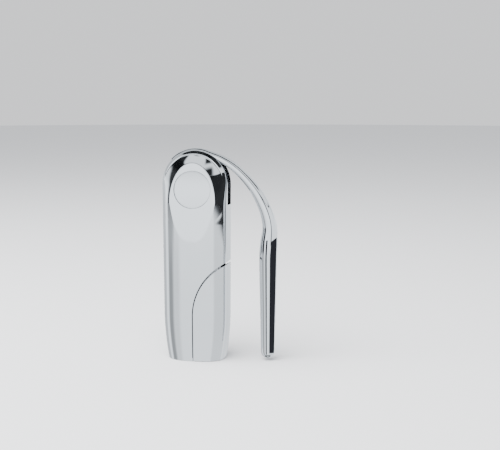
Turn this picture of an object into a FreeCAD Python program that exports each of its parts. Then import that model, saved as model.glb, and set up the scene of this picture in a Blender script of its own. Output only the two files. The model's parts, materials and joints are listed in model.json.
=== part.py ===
"""Vertical-lever corkscrew: chromed body, swinging lever, geared worm carriage and neck grip.

Frame: +Z up, origin on the bottle's axis in the plane that the body stands on. The lever hangs
on the +X side and the front face looks along -Y. All lengths are in millimetres.
"""
import FreeCAD, Part
import math
import os

# ---- body -------------------------------------------------------------------------------------
BODY_HALF_WIDTH = 30.4       # at the grip
SHOULDER_RADIUS = 31.0       # dome, about the lever's pivot
BASE_HALF_WIDTH = 26.2
BODY_HALF_DEPTH = 20.5
BASE_HALF_DEPTH = 20.0
TAPER_HEIGHT = 45.0          # the base draws in below this height
BODY_SQUARENESS = 2.8        # exponent of the body's oval section, 2 is a plain ellipse
OVAL_STEPS = 16              # spans in half of that oval
BASE_STEPS = 4               # levels in the tapered base
PIVOT_HEIGHT = 161.5
BODY_WALL = 1.8

FACET_FOOT = 111.0           # height at which the flat facet leaves the front face
FACET_LEAN_ANGLE = 4.574     # degrees that the facet leans back from upright
FACET_WALL = 2.4
CAP_HEIGHT = 157.5           # centre of the round cap in the facet
CAP_RADIUS = 17.0
CAP_THICKNESS = 1.2
CAP_RECESS = 1.6
CAP_GAP = 0.15

# ---- lever ------------------------------------------------------------------------------------
STRAP_RADIUS = 32.6          # outside of the strap that runs over the dome
STRAP_START_ANGLE = 62.0     # where the strap meets the arm, counted from +X upwards
STRAP_END_ANGLE = 136.0      # where the strap ends, on the side away from the arm
HUB_RADIUS = 26.0
HUB_HALF_WIDTH = 6.0
HANDLE_X = 66.5              # handle's centre line
HANDLE_TIP_RADIUS = 6.3
HANDLE_TIP_HEIGHT = 1.8      # clearance under the tip when the lever hangs
HANDLE_TIP_SWELL = 0.1       # the rounded end's radius over the tip's, so that they cross cleanly
ARM_POLES = 16               # control points round each section of the arm
ARM_STATIONS = [             # x, height over the pivot, half thickness, half width, squareness
    (13.5, 25.9, 3.2, 5.8, 3.4),
    (26.0, 21.6, 3.2, 5.8, 3.4),
    (39.9, 12.6, 3.3, 5.8, 3.2),
    (54.4, -2.8, 3.7, 5.8, 3.0),
    (62.9, -17.2, 4.3, 6.0, 2.8),
    (67.4, -29.3, 5.1, 6.4, 2.5),
    (68.7, -39.5, 6.0, 6.8, 2.3),
    (67.6, -52.0, 7.45, 7.6, 2.1),
    (66.6, -63.0, 8.0, 8.0, 2.0),
    (66.5, -80.0, 7.8, 7.8, 2.0),
    (66.5, -120.0, 6.95, 6.95, 2.0),
]
SLOT_GAP = 0.4               # each side of the strap and in front of its ends
SLOT_DROP = 31.0             # degrees that the slot runs below the pivot on each side
SECTOR_STEPS = 24

# ---- gear train -------------------------------------------------------------------------------
GEAR_MODULE = 1.5
HUB_TEETH = 23
IDLER_TEETH = 26
TOOTH_ADDENDUM = 1.0
TOOTH_DEDENDUM = 1.6
TOOTH_BACKLASH = 0.5
PRESSURE_ANGLE = 20.0
RACK_WEB = 2.3               # metal behind the rack's tooth roots
RACK_TOP_REACH = 5.0         # rack above the mesh point with the worm down
RACK_CHAMFER = 4.0
RACK_PIN_RADIUS = 0.8
RACK_PIN_SHARES = (0.25, 0.75)   # of the carriage's height
IDLER_SIDE_GAP = 0.2

# ---- frame ------------------------------------------------------------------------------------
PLATE_HALF_WIDTH = 24.6
PLATE_THICKNESS = 2.0
PLATE_RELIEF_HALF_WIDTH = 22.8   # lever side, beside the jaw
PLATE_RELIEF_TOP = 97.0
PLATE_CROWN_RADIUS = 24.1
PLATE_GAP = 0.4              # between a gear and its frame plate
SHELL_CLEARANCE = 0.52       # between a frame plate's crown and the facet's inner face
AXLE_RADIUS = 4.0
BUSH_WALL = 1.5
RUNNING_GAP = 0.05
SLIDING_GAP = 0.3
RAIL_THICKNESS = 2.8
RAIL_TONGUE = 2.0
RAIL_TONGUE_HALF_WIDTH = 2.5
RAIL_TOP = 130.0
RACK_GUIDE_THICKNESS = 2.2
RACK_GUIDE_TOP = 135.0
IDLER_PIN_RADIUS = 3.0
IDLER_HEAD_RADIUS = 3.8
IDLER_HEAD_THICKNESS = 0.8
WASHER_RADIUS = 8.0
WASHER_THICKNESS = 0.3
DOWEL_RADIUS = 1.5
DOWEL_CIRCLE = 11.5
DOWEL_DEPTH = 4.0
DOWEL_ANGLES = (90.0, 210.0, 330.0)
FRAME_SCREW_RADIUS = 1.0
FRAME_SCREW_LENGTH = 7.0
FRAME_HEAD_RADIUS = 1.7
FRAME_HEAD_HEIGHT = 0.8
BOSS_RADIUS = 3.4
SPIGOT_RADIUS = 2.0
SPIGOT_PLACES = [(-15.0, 84.0), (15.0, 100.0)]
PIVOT_SCREW_RADIUS = 2.0
PIVOT_SCREW_HEAD_RADIUS = 3.8
PIVOT_SCREW_HEAD_HEIGHT = 1.4
PIVOT_SCREW_DEPTH = 7.0
PIVOT_BOSS_RADIUS = 7.0
PIVOT_BOSS_FLOOR = 1.3

# ---- worm and carriage ------------------------------------------------------------------------
WORM_PITCH = 9.5
WORM_CORE_RADIUS = 2.75      # helix of the wire's centre
WORM_WIRE_RADIUS = 1.5
WORM_TIP_HEIGHT = 9.0
WORM_POINT_LENGTH = 3.0
WORM_POINT_RADIUS = 0.25
SHANK_RADIUS = 3.5
SHANK_FLANGE_RADIUS = 6.0
SHANK_FLANGE_THICKNESS = 1.8
RETAINER_RADIUS = 5.0
RETAINER_THICKNESS = 2.2
CARRIAGE_HALF_THICKNESS = 5.0
CARRIAGE_HEIGHT = 12.0
CARRIAGE_CLEARANCE = 0.85    # under the worm's flange with the lever hanging
NUT_RADIUS = 14.0
NUT_HEIGHT = 5.5
NUT_THREAD_GAP = 0.35
LATCH_RADIUS = 2.0
LATCH_DEPTH = 2.0            # into the nut

# ---- neck sleeve ------------------------------------------------------------------------------
NECK_RADIUS = 15.6           # bore that the bottle's neck enters
SLEEVE_WALL = 1.6
LIP_STOP_HEIGHT = 52.0       # the bottle's lip comes to rest here
LIP_STOP_THICKNESS = 3.0
CORK_HOLE_RADIUS = 12.5
SHELF_HALF_WIDTH = 24.0
BLOCK_INNER = 16.0           # frame blocks on the shelf, from here outwards
BLOCK_HEIGHT = 7.0
PAD_LOW = 36.0
PAD_HEIGHT = 14.0
PAD_HALF_WIDTH = 7.0
PAD_THICKNESS = 2.4
WINDOW_GAP = 1.0
BASE_PLATE_THICKNESS = 2.0
FOOT_LUG_REACH = 23.0
FOOT_LUG_HALF_WIDTH = 6.5
FOOT_LUG_HEIGHT = 6.0
BASE_SCREW_X = -20.0
BASE_SCREW_Y = 4.0
BASE_SCREW_RADIUS = 1.2
BASE_SCREW_LENGTH = 6.0
BASE_HEAD_RADIUS = 2.2
BASE_HEAD_HEIGHT = 1.0

# ---- foil cutter ------------------------------------------------------------------------------
CUTTER_RADIUS = 4.0
CUTTER_THICKNESS = 1.2
CUTTER_HEIGHT = 9.5
CUTTER_BITE = 0.8            # how far a wheel stands into the neck bore
CUTTER_SPREAD = 40.0         # degrees from the -X side to each wheel
CUTTER_PIN_RADIUS = 1.0
CUTTER_BOSS_RADIUS = 2.4
CUTTER_BOSS_LENGTH = 8.0
CUTTER_SIDE_GAP = 0.35

# ---- squeeze jaw ------------------------------------------------------------------------------
JAW_EDGE_X = 0.0             # straight lower part of the parting line
JAW_BEND_HEIGHT = 42.0       # where the parting line starts to curve
JAW_BODY_CURVE = 55.4        # radius of the body's edge
JAW_OWN_CURVE = 52.5         # radius of the jaw's edge
JAW_GAP = 1.0
JAW_LIFT = 0.3
JAW_PIN_X = 23.5
JAW_PIN_HEIGHT = 24.0
JAW_PIN_RADIUS = 1.5
JAW_PIN_HALF_LENGTH = 11.0
JAW_EAR_RADIUS = 3.6
JAW_EAR_INNER = 8.0
JAW_LUG_RADIUS = 3.2
JAW_LUG_INNER = 5.0
JAW_LUG_GAP = 0.3
SPRING_THICKNESS = 0.6
SPRING_HALF_WIDTH = 4.0
SPRING_FOOT_LOW = 64.0
SPRING_FOOT_HEIGHT = 7.0
SPRING_TIP_HEIGHT = 86.0
SPRING_TIP_X = 26.2

# ---- worked out from the sizes above ----------------------------------------------------------
FAR = 200.0                  # longer than the object, for cutting tools
FACET_SLOPE = math.tan(math.radians(FACET_LEAN_ANGLE))
FACET_INSIDE = BODY_HALF_DEPTH - FACET_WALL * math.hypot(1, FACET_SLOPE)
CROWN_TOP = PIVOT_HEIGHT + PLATE_CROWN_RADIUS
HUB_GEAR_RADIUS = GEAR_MODULE * HUB_TEETH / 2
IDLER_RADIUS = GEAR_MODULE * IDLER_TEETH / 2
IDLER_HEIGHT = PIVOT_HEIGHT - HUB_GEAR_RADIUS - IDLER_RADIUS
PLATE_OUTER = FACET_INSIDE - FACET_SLOPE * (CROWN_TOP - FACET_FOOT) - SHELL_CLEARANCE
PLATE_INNER = PLATE_OUTER - PLATE_THICKNESS
GEAR_OUTER = PLATE_INNER - PLATE_GAP
RACK_ROOT = -(IDLER_RADIUS + TOOTH_DEDENDUM)
RACK_BACK = RACK_ROOT - RACK_WEB
RACK_INNER = HUB_HALF_WIDTH + IDLER_SIDE_GAP
RACK_TOP = IDLER_HEIGHT + RACK_TOP_REACH
RACK_GUIDE_X = RACK_BACK - SLIDING_GAP
SLEEVE_TOP = LIP_STOP_HEIGHT + LIP_STOP_THICKNESS
BLOCK_TOP = SLEEVE_TOP + BLOCK_HEIGHT
FLANGE_LOW = SLEEVE_TOP + NUT_HEIGHT + CARRIAGE_CLEARANCE
CARRIAGE_REST = FLANGE_LOW + SHANK_FLANGE_THICKNESS + RUNNING_GAP    # underside, lever hanging
CARRIAGE_TOP = CARRIAGE_REST + CARRIAGE_HEIGHT
RAIL_X = PLATE_HALF_WIDTH - RAIL_THICKNESS
TONGUE_X = RAIL_X - RAIL_TONGUE
CARRIAGE_END = RAIL_X - SLIDING_GAP
CUTTER_OFFSET = NECK_RADIUS - CUTTER_BITE + CUTTER_RADIUS
SLEEVE_OUTER = NECK_RADIUS + SLEEVE_WALL


def vec(x, y, z):
    return FreeCAD.Vector(x, y, z)


def box(x0, x1, y0, y1, z0, z1):
    return Part.makeBox(x1 - x0, y1 - y0, z1 - z0, vec(x0, y0, z0))


def rod_y(radius, x, z, y0, y1):
    """A round bar along Y."""
    return Part.makeCylinder(radius, y1 - y0, vec(x, y0, z), vec(0, 1, 0))


def rod_z(radius, x, y, z0, z1):
    """A round bar along Z."""
    return Part.makeCylinder(radius, z1 - z0, vec(x, y, z0))


def prism(points_xz, y0, y1):
    """A polygon in the XZ plane, given depth along Y."""
    corners = [vec(x, y0, z) for x, z in points_xz]
    outline = Part.makePolygon(corners + corners[:1])
    return Part.Face(outline).extrude(vec(0, y1 - y0, 0))


def mirrored(shape):
    """The same piece on the other side of the middle plane, front to rear."""
    return shape.mirror(vec(0, 0, 0), vec(0, 1, 0))


def joined(shapes):
    return shapes[0].multiFuse(shapes[1:]).removeSplitter()


def both_sides(shape):
    """One node that holds a front and a rear copy as separate solids."""
    return Part.makeCompound([shape, mirrored(shape)])


def save(name, shape):
    shape.exportStep(os.path.join("parts", name + ".step"))
    print(name, shape.isValid(), len(shape.Solids), round(shape.Volume, 1))


# ---- the body's outer form --------------------------------------------------------------------
def oval_points(half_width, half_depth, squareness):
    """Points of the right half of a squared oval, from its front (-Y) to its rear."""
    points = []
    for step in range(OVAL_STEPS + 1):
        turn = math.pi * step / OVAL_STEPS - math.pi / 2
        across = half_width * max(math.cos(turn), 0.0) ** (2 / squareness)
        depth = half_depth * abs(math.sin(turn)) ** (2 / squareness)
        points.append((across, math.copysign(depth, turn)))
    return points


def half_oval(half_width, half_depth, squareness, height):
    """The right half of a level section, as one smooth edge."""
    points = [vec(x, y, height) for x, y in oval_points(half_width, half_depth, squareness)]
    curve = Part.BSplineCurve()
    curve.interpolate(Points=points, InitialTangent=vec(1, 0, 0), FinalTangent=vec(-1, 0, 0))
    return curve.toShape()


def level_section(height, inset):
    """The body's closed section at a height, inset by a wall."""
    share = max(0.0, 1 - height / TAPER_HEIGHT) ** 2
    above = max(0.0, height - TAPER_HEIGHT) / (PIVOT_HEIGHT - TAPER_HEIGHT)
    width = BODY_HALF_WIDTH + (SHOULDER_RADIUS - BODY_HALF_WIDTH) * above
    width -= (BODY_HALF_WIDTH - BASE_HALF_WIDTH) * share
    depth = BODY_HALF_DEPTH - (BODY_HALF_DEPTH - BASE_HALF_DEPTH) * share
    right = half_oval(width - inset, depth - inset, BODY_SQUARENESS, height)
    left = right.mirror(vec(0, 0, 0), vec(1, 0, 0))
    return Part.Wire(Part.__sortEdges__([right, left]))


def body_form(inset):
    """Base, grip and dome as one solid, inset by a wall."""
    heights = [TAPER_HEIGHT * step / BASE_STEPS for step in range(BASE_STEPS + 1)]
    base = Part.makeLoft([level_section(height, inset) for height in heights], True)
    grip = Part.makeLoft([level_section(height, inset) for height in (TAPER_HEIGHT, PIVOT_HEIGHT)], True, True)
    rim = half_oval(SHOULDER_RADIUS - inset, BODY_HALF_DEPTH - inset, BODY_SQUARENESS, PIVOT_HEIGHT)
    spine = Part.makeLine(rim.Vertexes[-1].Point, rim.Vertexes[0].Point)
    half_face = Part.Face(Part.Wire([rim, spine]))
    dome = half_face.revolve(vec(0, 0, PIVOT_HEIGHT), vec(0, -1, 0), 180)
    return cut_facets(joined([base, grip, dome]), inset)


def facet_y(height, inset=0.0):
    """How far forward the facet's plane lies at a height."""
    lean = math.hypot(1, FACET_SLOPE)
    return -(BODY_HALF_DEPTH - inset * lean - FACET_SLOPE * (height - FACET_FOOT))


def cut_facets(form, inset):
    """Takes the flat facets off the front and the rear of the body's form."""
    thickness = FACET_WALL if inset else 0.0
    corners = [(facet_y(0, thickness), 0), (facet_y(FAR, thickness), FAR), (-FAR, FAR), (-FAR, 0)]
    wire = Part.makePolygon([vec(-FAR, y, z) for y, z in corners + corners[:1]])
    front = Part.Face(wire).extrude(vec(2 * FAR, 0, 0))
    return form.cut([front, mirrored(front)])


def facet_plug(radius, depth, above=0.0):
    """A disc square to the facet, from above its surface down to a depth."""
    inward = vec(0, 1, -FACET_SLOPE)
    inward.normalize()
    start = vec(0, facet_y(CAP_HEIGHT), CAP_HEIGHT) - inward * above
    return Part.makeCylinder(radius, depth + above, start, inward)


def slot_sector(radius, start, end, half_width):
    """A pie slice about the lever's pivot, with angles counted from +X upwards."""
    points = [(0.0, PIVOT_HEIGHT)]
    for step in range(SECTOR_STEPS + 1):
        turn = math.radians(start + (end - start) * step / SECTOR_STEPS)
        points.append((radius * math.cos(turn), PIVOT_HEIGHT + radius * math.sin(turn)))
    return prism(points, -half_width, half_width)


def jaw_side(edge_x, curve):
    """Everything to the lower right of a parting line: a straight run, then one arc."""
    bend = vec(edge_x, -FAR, JAW_BEND_HEIGHT)
    centre_x = edge_x + curve
    low = vec(edge_x, -FAR, -FAR)
    slope = math.radians(135)
    middle = vec(centre_x + curve * math.cos(slope), -FAR, JAW_BEND_HEIGHT + curve * math.sin(slope))
    top = vec(centre_x, -FAR, JAW_BEND_HEIGHT + curve)
    corner = vec(centre_x, -FAR, -FAR)
    edges = [
        Part.makeLine(low, bend),
        Part.Arc(bend, middle, top).toShape(),
        Part.makeLine(top, corner),
        Part.makeLine(corner, low),
    ]
    return Part.Face(Part.Wire(edges)).extrude(vec(0, 2 * FAR, 0))


# ---- housing ----------------------------------------------------------------------------------
def hollow_body(outer, inner):
    floor = max(inner.Faces, key=lambda face: -face.CenterOfMass.z)
    below = floor.extrude(vec(0, 0, -1))
    return outer.cut([inner, below])


def pivot_screw_head_y():
    """Outer face of the pivot screw's seat on the front side."""
    return -(PLATE_OUTER + PIVOT_BOSS_FLOOR)


def front_shell(wall, room):
    half = wall.common(box(-FAR, FAR, -FAR, 0, -FAR, FAR))
    slot = slot_sector(2 * STRAP_RADIUS, -SLOT_DROP, 180 + SLOT_DROP, HUB_HALF_WIDTH + SLOT_GAP)
    shell = half.cut([slot, jaw_side(JAW_EDGE_X, JAW_BODY_CURVE)])
    additions = [rod_y(PIVOT_BOSS_RADIUS, 0, PIVOT_HEIGHT, -FAR, -PLATE_OUTER).common(room)]
    for x, z in SPIGOT_PLACES:
        additions.append(rod_y(BOSS_RADIUS, x, z, -FAR, -PLATE_OUTER).common(room))
        additions.append(rod_y(SPIGOT_RADIUS, x, z, -PLATE_OUTER, -PLATE_INNER))
    shell = joined([shell] + additions)
    head_seat = rod_y(PIVOT_SCREW_HEAD_RADIUS + SLIDING_GAP, 0, PIVOT_HEIGHT, -FAR, pivot_screw_head_y())
    hole = rod_y(PIVOT_SCREW_RADIUS + RUNNING_GAP, 0, PIVOT_HEIGHT, -FAR, 0)
    recess = facet_plug(CAP_RADIUS + CAP_GAP, CAP_RECESS, FACET_WALL)
    return shell.cut([head_seat, hole, recess])


def cap_disc():
    """The round cap that covers the pivot screw, a little below the facet."""
    disc = facet_plug(CAP_RADIUS, CAP_RECESS).cut(facet_plug(2 * CAP_RADIUS, CAP_RECESS - CAP_THICKNESS))
    rim = max(disc.Edges, key=lambda edge: -edge.CenterOfMass.y)
    return disc.makeChamfer(CAP_GAP, [rim])


def frame_plate():
    """The front frame plate, which carries the axle and the idler's pin."""
    flat = box(-PLATE_HALF_WIDTH, PLATE_HALF_WIDTH, -PLATE_OUTER, -PLATE_INNER, SLEEVE_TOP, PIVOT_HEIGHT)
    crown = rod_y(PLATE_CROWN_RADIUS, 0, PIVOT_HEIGHT, -PLATE_OUTER, -PLATE_INNER)
    holes = [rod_y(AXLE_RADIUS, 0, PIVOT_HEIGHT, -FAR, 0)]
    holes.append(rod_y(IDLER_PIN_RADIUS, 0, IDLER_HEIGHT, -FAR, 0))
    for x, z in SPIGOT_PLACES:
        holes.append(rod_y(SPIGOT_RADIUS + RUNNING_GAP, x, z, -FAR, 0))
    for x, z in frame_screw_places():
        holes.append(rod_y(FRAME_SCREW_RADIUS + RUNNING_GAP, x, z, -FAR, 0))
    holes.append(box(PLATE_RELIEF_HALF_WIDTH, FAR, -FAR, 0, 0, PLATE_RELIEF_TOP))
    return joined([flat, crown]).cut(holes)


def frame_screw_places():
    """Screw axes: two in the sleeve's blocks and one at the top of the carriage rail."""
    block_middle = (SLEEVE_TOP + BLOCK_TOP) / 2
    block_x = (BLOCK_INNER + SHELF_HALF_WIDTH) / 2
    rail_x = (RAIL_X + PLATE_HALF_WIDTH) / 2
    return [(-block_x, block_middle), (block_x, block_middle), (rail_x, RAIL_TOP - RAIL_THICKNESS)]


def frame_screws():
    screws = []
    for x, z in frame_screw_places():
        head_face = -PLATE_OUTER - FRAME_HEAD_HEIGHT
        shank = rod_y(FRAME_SCREW_RADIUS, x, z, -PLATE_OUTER, -PLATE_OUTER + FRAME_SCREW_LENGTH)
        head = rod_y(FRAME_HEAD_RADIUS, x, z, head_face, -PLATE_OUTER)
        drive = rod_y(FRAME_SCREW_RADIUS / 2, x, z, head_face, head_face + FRAME_HEAD_HEIGHT / 2)
        screw = joined([shank, head]).cut(drive)
        screws += [screw, mirrored(screw)]
    return Part.makeCompound(screws)


def frame_screw_holes():
    """The tapped holes that the frame screws enter, front and rear."""
    holes = []
    for x, z in frame_screw_places():
        deep = FRAME_SCREW_LENGTH - PLATE_THICKNESS + SLIDING_GAP
        hole = rod_y(FRAME_SCREW_RADIUS + RUNNING_GAP, x, z, -PLATE_INNER, -PLATE_INNER + deep)
        holes += [hole, mirrored(hole)]
    return holes


def pivot_axle():
    axle = rod_y(AXLE_RADIUS, 0, PIVOT_HEIGHT, -PLATE_OUTER, PLATE_OUTER)
    deep = PIVOT_SCREW_DEPTH + SLIDING_GAP
    hole = rod_y(PIVOT_SCREW_RADIUS + RUNNING_GAP, 0, PIVOT_HEIGHT, -PLATE_OUTER, -PLATE_OUTER + deep)
    return axle.cut([hole, mirrored(hole)])


def pivot_screw():
    seat = pivot_screw_head_y()
    head = rod_y(PIVOT_SCREW_HEAD_RADIUS, 0, PIVOT_HEIGHT, seat - PIVOT_SCREW_HEAD_HEIGHT, seat)
    shank = rod_y(PIVOT_SCREW_RADIUS, 0, PIVOT_HEIGHT, seat, -PLATE_OUTER + PIVOT_SCREW_DEPTH)
    top = seat - PIVOT_SCREW_HEAD_HEIGHT
    drive = rod_y(PIVOT_SCREW_RADIUS / 2, 0, PIVOT_HEIGHT, top, top + PIVOT_SCREW_HEAD_HEIGHT / 2)
    return joined([head, shank]).cut(drive)


def thrust_washer():
    """Lies in the gap between the hub gear and the frame plate."""
    start = -GEAR_OUTER - (PLATE_GAP + WASHER_THICKNESS) / 2
    disc = rod_y(WASHER_RADIUS, 0, PIVOT_HEIGHT, start, start + WASHER_THICKNESS)
    return disc.cut(rod_y(AXLE_RADIUS + RUNNING_GAP, 0, PIVOT_HEIGHT, -FAR, 0))


def idler_pin():
    head_end = -HUB_HALF_WIDTH - IDLER_SIDE_GAP + RUNNING_GAP
    shank = rod_y(IDLER_PIN_RADIUS, 0, IDLER_HEIGHT, -PLATE_OUTER, head_end)
    head = rod_y(IDLER_HEAD_RADIUS, 0, IDLER_HEIGHT, head_end, head_end + IDLER_HEAD_THICKNESS)
    return joined([shank, head])


def carriage_rail():
    """Upright on the lever side, whose tongue guides the carriage's fork."""
    bar = box(RAIL_X, PLATE_HALF_WIDTH, -PLATE_INNER, PLATE_INNER, BLOCK_TOP, RAIL_TOP)
    half = RAIL_TONGUE_HALF_WIDTH
    tongue = box(TONGUE_X, RAIL_X, -half, half, BLOCK_TOP, RAIL_TOP)
    return joined([bar, tongue]).cut(frame_screw_holes())


def rack_guide():
    """Upright behind the racks, which keeps them in mesh."""
    back = RACK_GUIDE_X - RACK_GUIDE_THICKNESS
    return box(back, RACK_GUIDE_X, -PLATE_INNER, PLATE_INNER, BLOCK_TOP, RACK_GUIDE_TOP)


# ---- neck sleeve and foil cutter --------------------------------------------------------------
def cutter_places():
    places = []
    for side in (-1, 1):
        turn = math.radians(180 + side * CUTTER_SPREAD)
        places.append((CUTTER_OFFSET * math.cos(turn), CUTTER_OFFSET * math.sin(turn)))
    return places


def pad_block(x0, x1, margin=0.0):
    half = PAD_HALF_WIDTH + margin
    return box(x0, x1, -half, half, PAD_LOW - margin, PAD_LOW + PAD_HEIGHT + margin)


def neck_sleeve():
    """Tube for the bottle's neck, with the lip stop and the shelf that carries the frame."""
    low = BASE_PLATE_THICKNESS
    tube = rod_z(SLEEVE_OUTER, 0, 0, low, SLEEVE_TOP)
    half = SHELF_HALF_WIDTH
    shelf = box(-half, half, -PLATE_OUTER, PLATE_OUTER, LIP_STOP_HEIGHT, SLEEVE_TOP)
    solids = [tube, shelf]
    for start, end in ((-half, -BLOCK_INNER), (BLOCK_INNER, half)):
        solids.append(box(start, end, -PLATE_INNER, PLATE_INNER, SLEEVE_TOP, BLOCK_TOP))
    lug_half = FOOT_LUG_HALF_WIDTH
    solids.append(box(-FOOT_LUG_REACH, -NECK_RADIUS, -lug_half, lug_half, low, low + FOOT_LUG_HEIGHT))
    boss_low = CUTTER_HEIGHT - CUTTER_BOSS_LENGTH / 2
    for x, y in cutter_places():
        solids.append(rod_z(CUTTER_BOSS_RADIUS, x, y, boss_low, boss_low + CUTTER_BOSS_LENGTH))
    for side in (-1, 1):
        inner, outer = sorted((side * JAW_LUG_INNER, side * (JAW_EAR_INNER - JAW_LUG_GAP)))
        lug = box(NECK_RADIUS, JAW_PIN_X, inner, outer, JAW_PIN_HEIGHT - JAW_LUG_RADIUS,
                  JAW_PIN_HEIGHT + JAW_LUG_RADIUS)
        solids += [lug, rod_y(JAW_LUG_RADIUS, JAW_PIN_X, JAW_PIN_HEIGHT, inner, outer)]
    cuts = [rod_z(NECK_RADIUS, 0, 0, 0, LIP_STOP_HEIGHT)]
    cuts.append(rod_z(CORK_HOLE_RADIUS, 0, 0, 0, FAR))
    cuts.append(pad_block(-FAR, 0))
    cuts.append(pad_block(0, FAR, WINDOW_GAP))
    cuts.append(rod_y(JAW_PIN_RADIUS, JAW_PIN_X, JAW_PIN_HEIGHT, -FAR, FAR))
    room = CUTTER_THICKNESS / 2 + CUTTER_SIDE_GAP
    for x, y in cutter_places():
        cuts.append(rod_z(CUTTER_RADIUS + CUTTER_SIDE_GAP, x, y, CUTTER_HEIGHT - room, CUTTER_HEIGHT + room))
        cuts.append(rod_z(CUTTER_PIN_RADIUS, x, y, boss_low, boss_low + CUTTER_BOSS_LENGTH))
    for y in (-BASE_SCREW_Y, BASE_SCREW_Y):
        cuts.append(rod_z(BASE_SCREW_RADIUS + RUNNING_GAP, BASE_SCREW_X, y, 0, BASE_SCREW_LENGTH + SLIDING_GAP))
    latch_z = SLEEVE_TOP + NUT_HEIGHT / 2
    cuts.append(Part.makeCylinder(LATCH_RADIUS + RUNNING_GAP, FAR, vec(0, 0, latch_z), vec(1, 0, 0)))
    return joined(solids).cut(cuts + frame_screw_holes())


def neck_pad(side):
    """A rubber pad that meets the neck, on the -X or +X side."""
    outer = NECK_RADIUS + PAD_THICKNESS
    ring = rod_z(outer, 0, 0, 0, FAR).cut(rod_z(NECK_RADIUS, 0, 0, 0, FAR))
    span = pad_block(-FAR, 0) if side < 0 else pad_block(0, FAR)
    return ring.common(span)


def cutter_wheel(x, y):
    """Two cones back to back, so the rim is a blade, with a running bore."""
    half = CUTTER_THICKNESS / 2
    blunt = CUTTER_RADIUS - CUTTER_THICKNESS
    lower = Part.makeCone(blunt, CUTTER_RADIUS, half, vec(x, y, CUTTER_HEIGHT - half))
    upper = Part.makeCone(CUTTER_RADIUS, blunt, half, vec(x, y, CUTTER_HEIGHT))
    return lower.fuse(upper).cut(rod_z(CUTTER_PIN_RADIUS + RUNNING_GAP, x, y, 0, FAR))


def cutter_pins():
    low = CUTTER_HEIGHT - CUTTER_BOSS_LENGTH / 2
    return Part.makeCompound([
        rod_z(CUTTER_PIN_RADIUS, x, y, low, low + CUTTER_BOSS_LENGTH) for x, y in cutter_places()
    ])


def base_plate():
    """Closes the bottom between the shells and the neck bore, beside the jaw."""
    outline = Part.Face(level_section(0.0, BODY_WALL + RUNNING_GAP))
    slab = outline.extrude(vec(0, 0, BASE_PLATE_THICKNESS))
    cuts = [rod_z(NECK_RADIUS, 0, 0, -1, FAR), box(JAW_EDGE_X - JAW_GAP, FAR, -FAR, FAR, -1, FAR)]
    for y in (-BASE_SCREW_Y, BASE_SCREW_Y):
        cuts.append(rod_z(BASE_SCREW_RADIUS + RUNNING_GAP, BASE_SCREW_X, y, -1, FAR))
        cuts.append(rod_z(BASE_HEAD_RADIUS + RUNNING_GAP, BASE_SCREW_X, y, -1, BASE_HEAD_HEIGHT))
    return slab.cut(cuts)


def base_screws():
    screws = []
    for y in (-BASE_SCREW_Y, BASE_SCREW_Y):
        head = rod_z(BASE_HEAD_RADIUS, BASE_SCREW_X, y, RUNNING_GAP, BASE_HEAD_HEIGHT)
        shank = rod_z(BASE_SCREW_RADIUS, BASE_SCREW_X, y, BASE_HEAD_HEIGHT, BASE_SCREW_LENGTH)
        screws.append(joined([head, shank]))
    return Part.makeCompound(screws)


# ---- gears ------------------------------------------------------------------------------------
def tooth_width(height):
    """Width of a tooth at a height above the pitch line."""
    at_pitch = math.pi * GEAR_MODULE / 2 - TOOTH_BACKLASH
    return at_pitch - 2 * height * math.tan(math.radians(PRESSURE_ANGLE))


def gear(teeth, centre_z, first_tooth, y0, y1, bore):
    """A spur gear about a Y axis, with straight-flanked stub teeth."""
    radius = GEAR_MODULE * teeth / 2
    levels = (-TOOTH_DEDENDUM, TOOTH_ADDENDUM)
    outline = []
    for tooth in range(teeth):
        middle = math.radians(first_tooth) + 2 * math.pi * tooth / teeth
        corners = [(-1, levels[0]), (-1, levels[1]), (1, levels[1]), (1, levels[0])]
        for side, level in corners:
            reach = radius + level
            turn = middle + side * tooth_width(level) / 2 / reach
            outline.append((reach * math.cos(turn), centre_z + reach * math.sin(turn)))
    return prism(outline, y0, y1).cut(rod_y(bore, 0, centre_z, -FAR, FAR))


def hub_gear():
    """Has a tooth that points straight down, into the idler."""
    blank = gear(HUB_TEETH, PIVOT_HEIGHT, -90, -GEAR_OUTER, -HUB_HALF_WIDTH, AXLE_RADIUS + BUSH_WALL)
    return blank.cut([rod_y(DOWEL_RADIUS, x, z, -FAR, 0) for x, z in dowel_places()])


def idler_gear():
    """Has a gap that points straight up and a tooth that points at the rack."""
    first = 90 + 180 / IDLER_TEETH
    inner = -HUB_HALF_WIDTH - IDLER_SIDE_GAP
    return gear(IDLER_TEETH, IDLER_HEIGHT, first, -GEAR_OUTER, inner, IDLER_PIN_RADIUS + RUNNING_GAP)


def rack():
    """Toothed bar that the idler drives, with a gap at the mesh height."""
    pitch = math.pi * GEAR_MODULE
    outline = [(RACK_BACK, CARRIAGE_REST)]
    lowest = math.ceil((CARRIAGE_REST - IDLER_HEIGHT) / pitch) + 1
    highest = math.floor((RACK_TOP - IDLER_HEIGHT) / pitch)
    for tooth in range(lowest, highest + 1):
        middle = IDLER_HEIGHT + (tooth - 0.5) * pitch
        for side, level in ((-1, -TOOTH_DEDENDUM), (-1, TOOTH_ADDENDUM), (1, TOOTH_ADDENDUM), (1, -TOOTH_DEDENDUM)):
            outline.append((-IDLER_RADIUS + level, middle + side * tooth_width(level) / 2))
    outline.insert(1, (RACK_ROOT, CARRIAGE_REST))
    outline.append((RACK_ROOT, RACK_TOP))
    outline.append((RACK_BACK, RACK_TOP - RACK_CHAMFER))
    return prism(outline, -GEAR_OUTER, -RACK_INNER).cut(rack_pin_holes())


def rack_pin_places():
    x = RACK_ROOT - RACK_WEB / 2
    return [(x, CARRIAGE_REST + CARRIAGE_HEIGHT * share) for share in RACK_PIN_SHARES]


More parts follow.
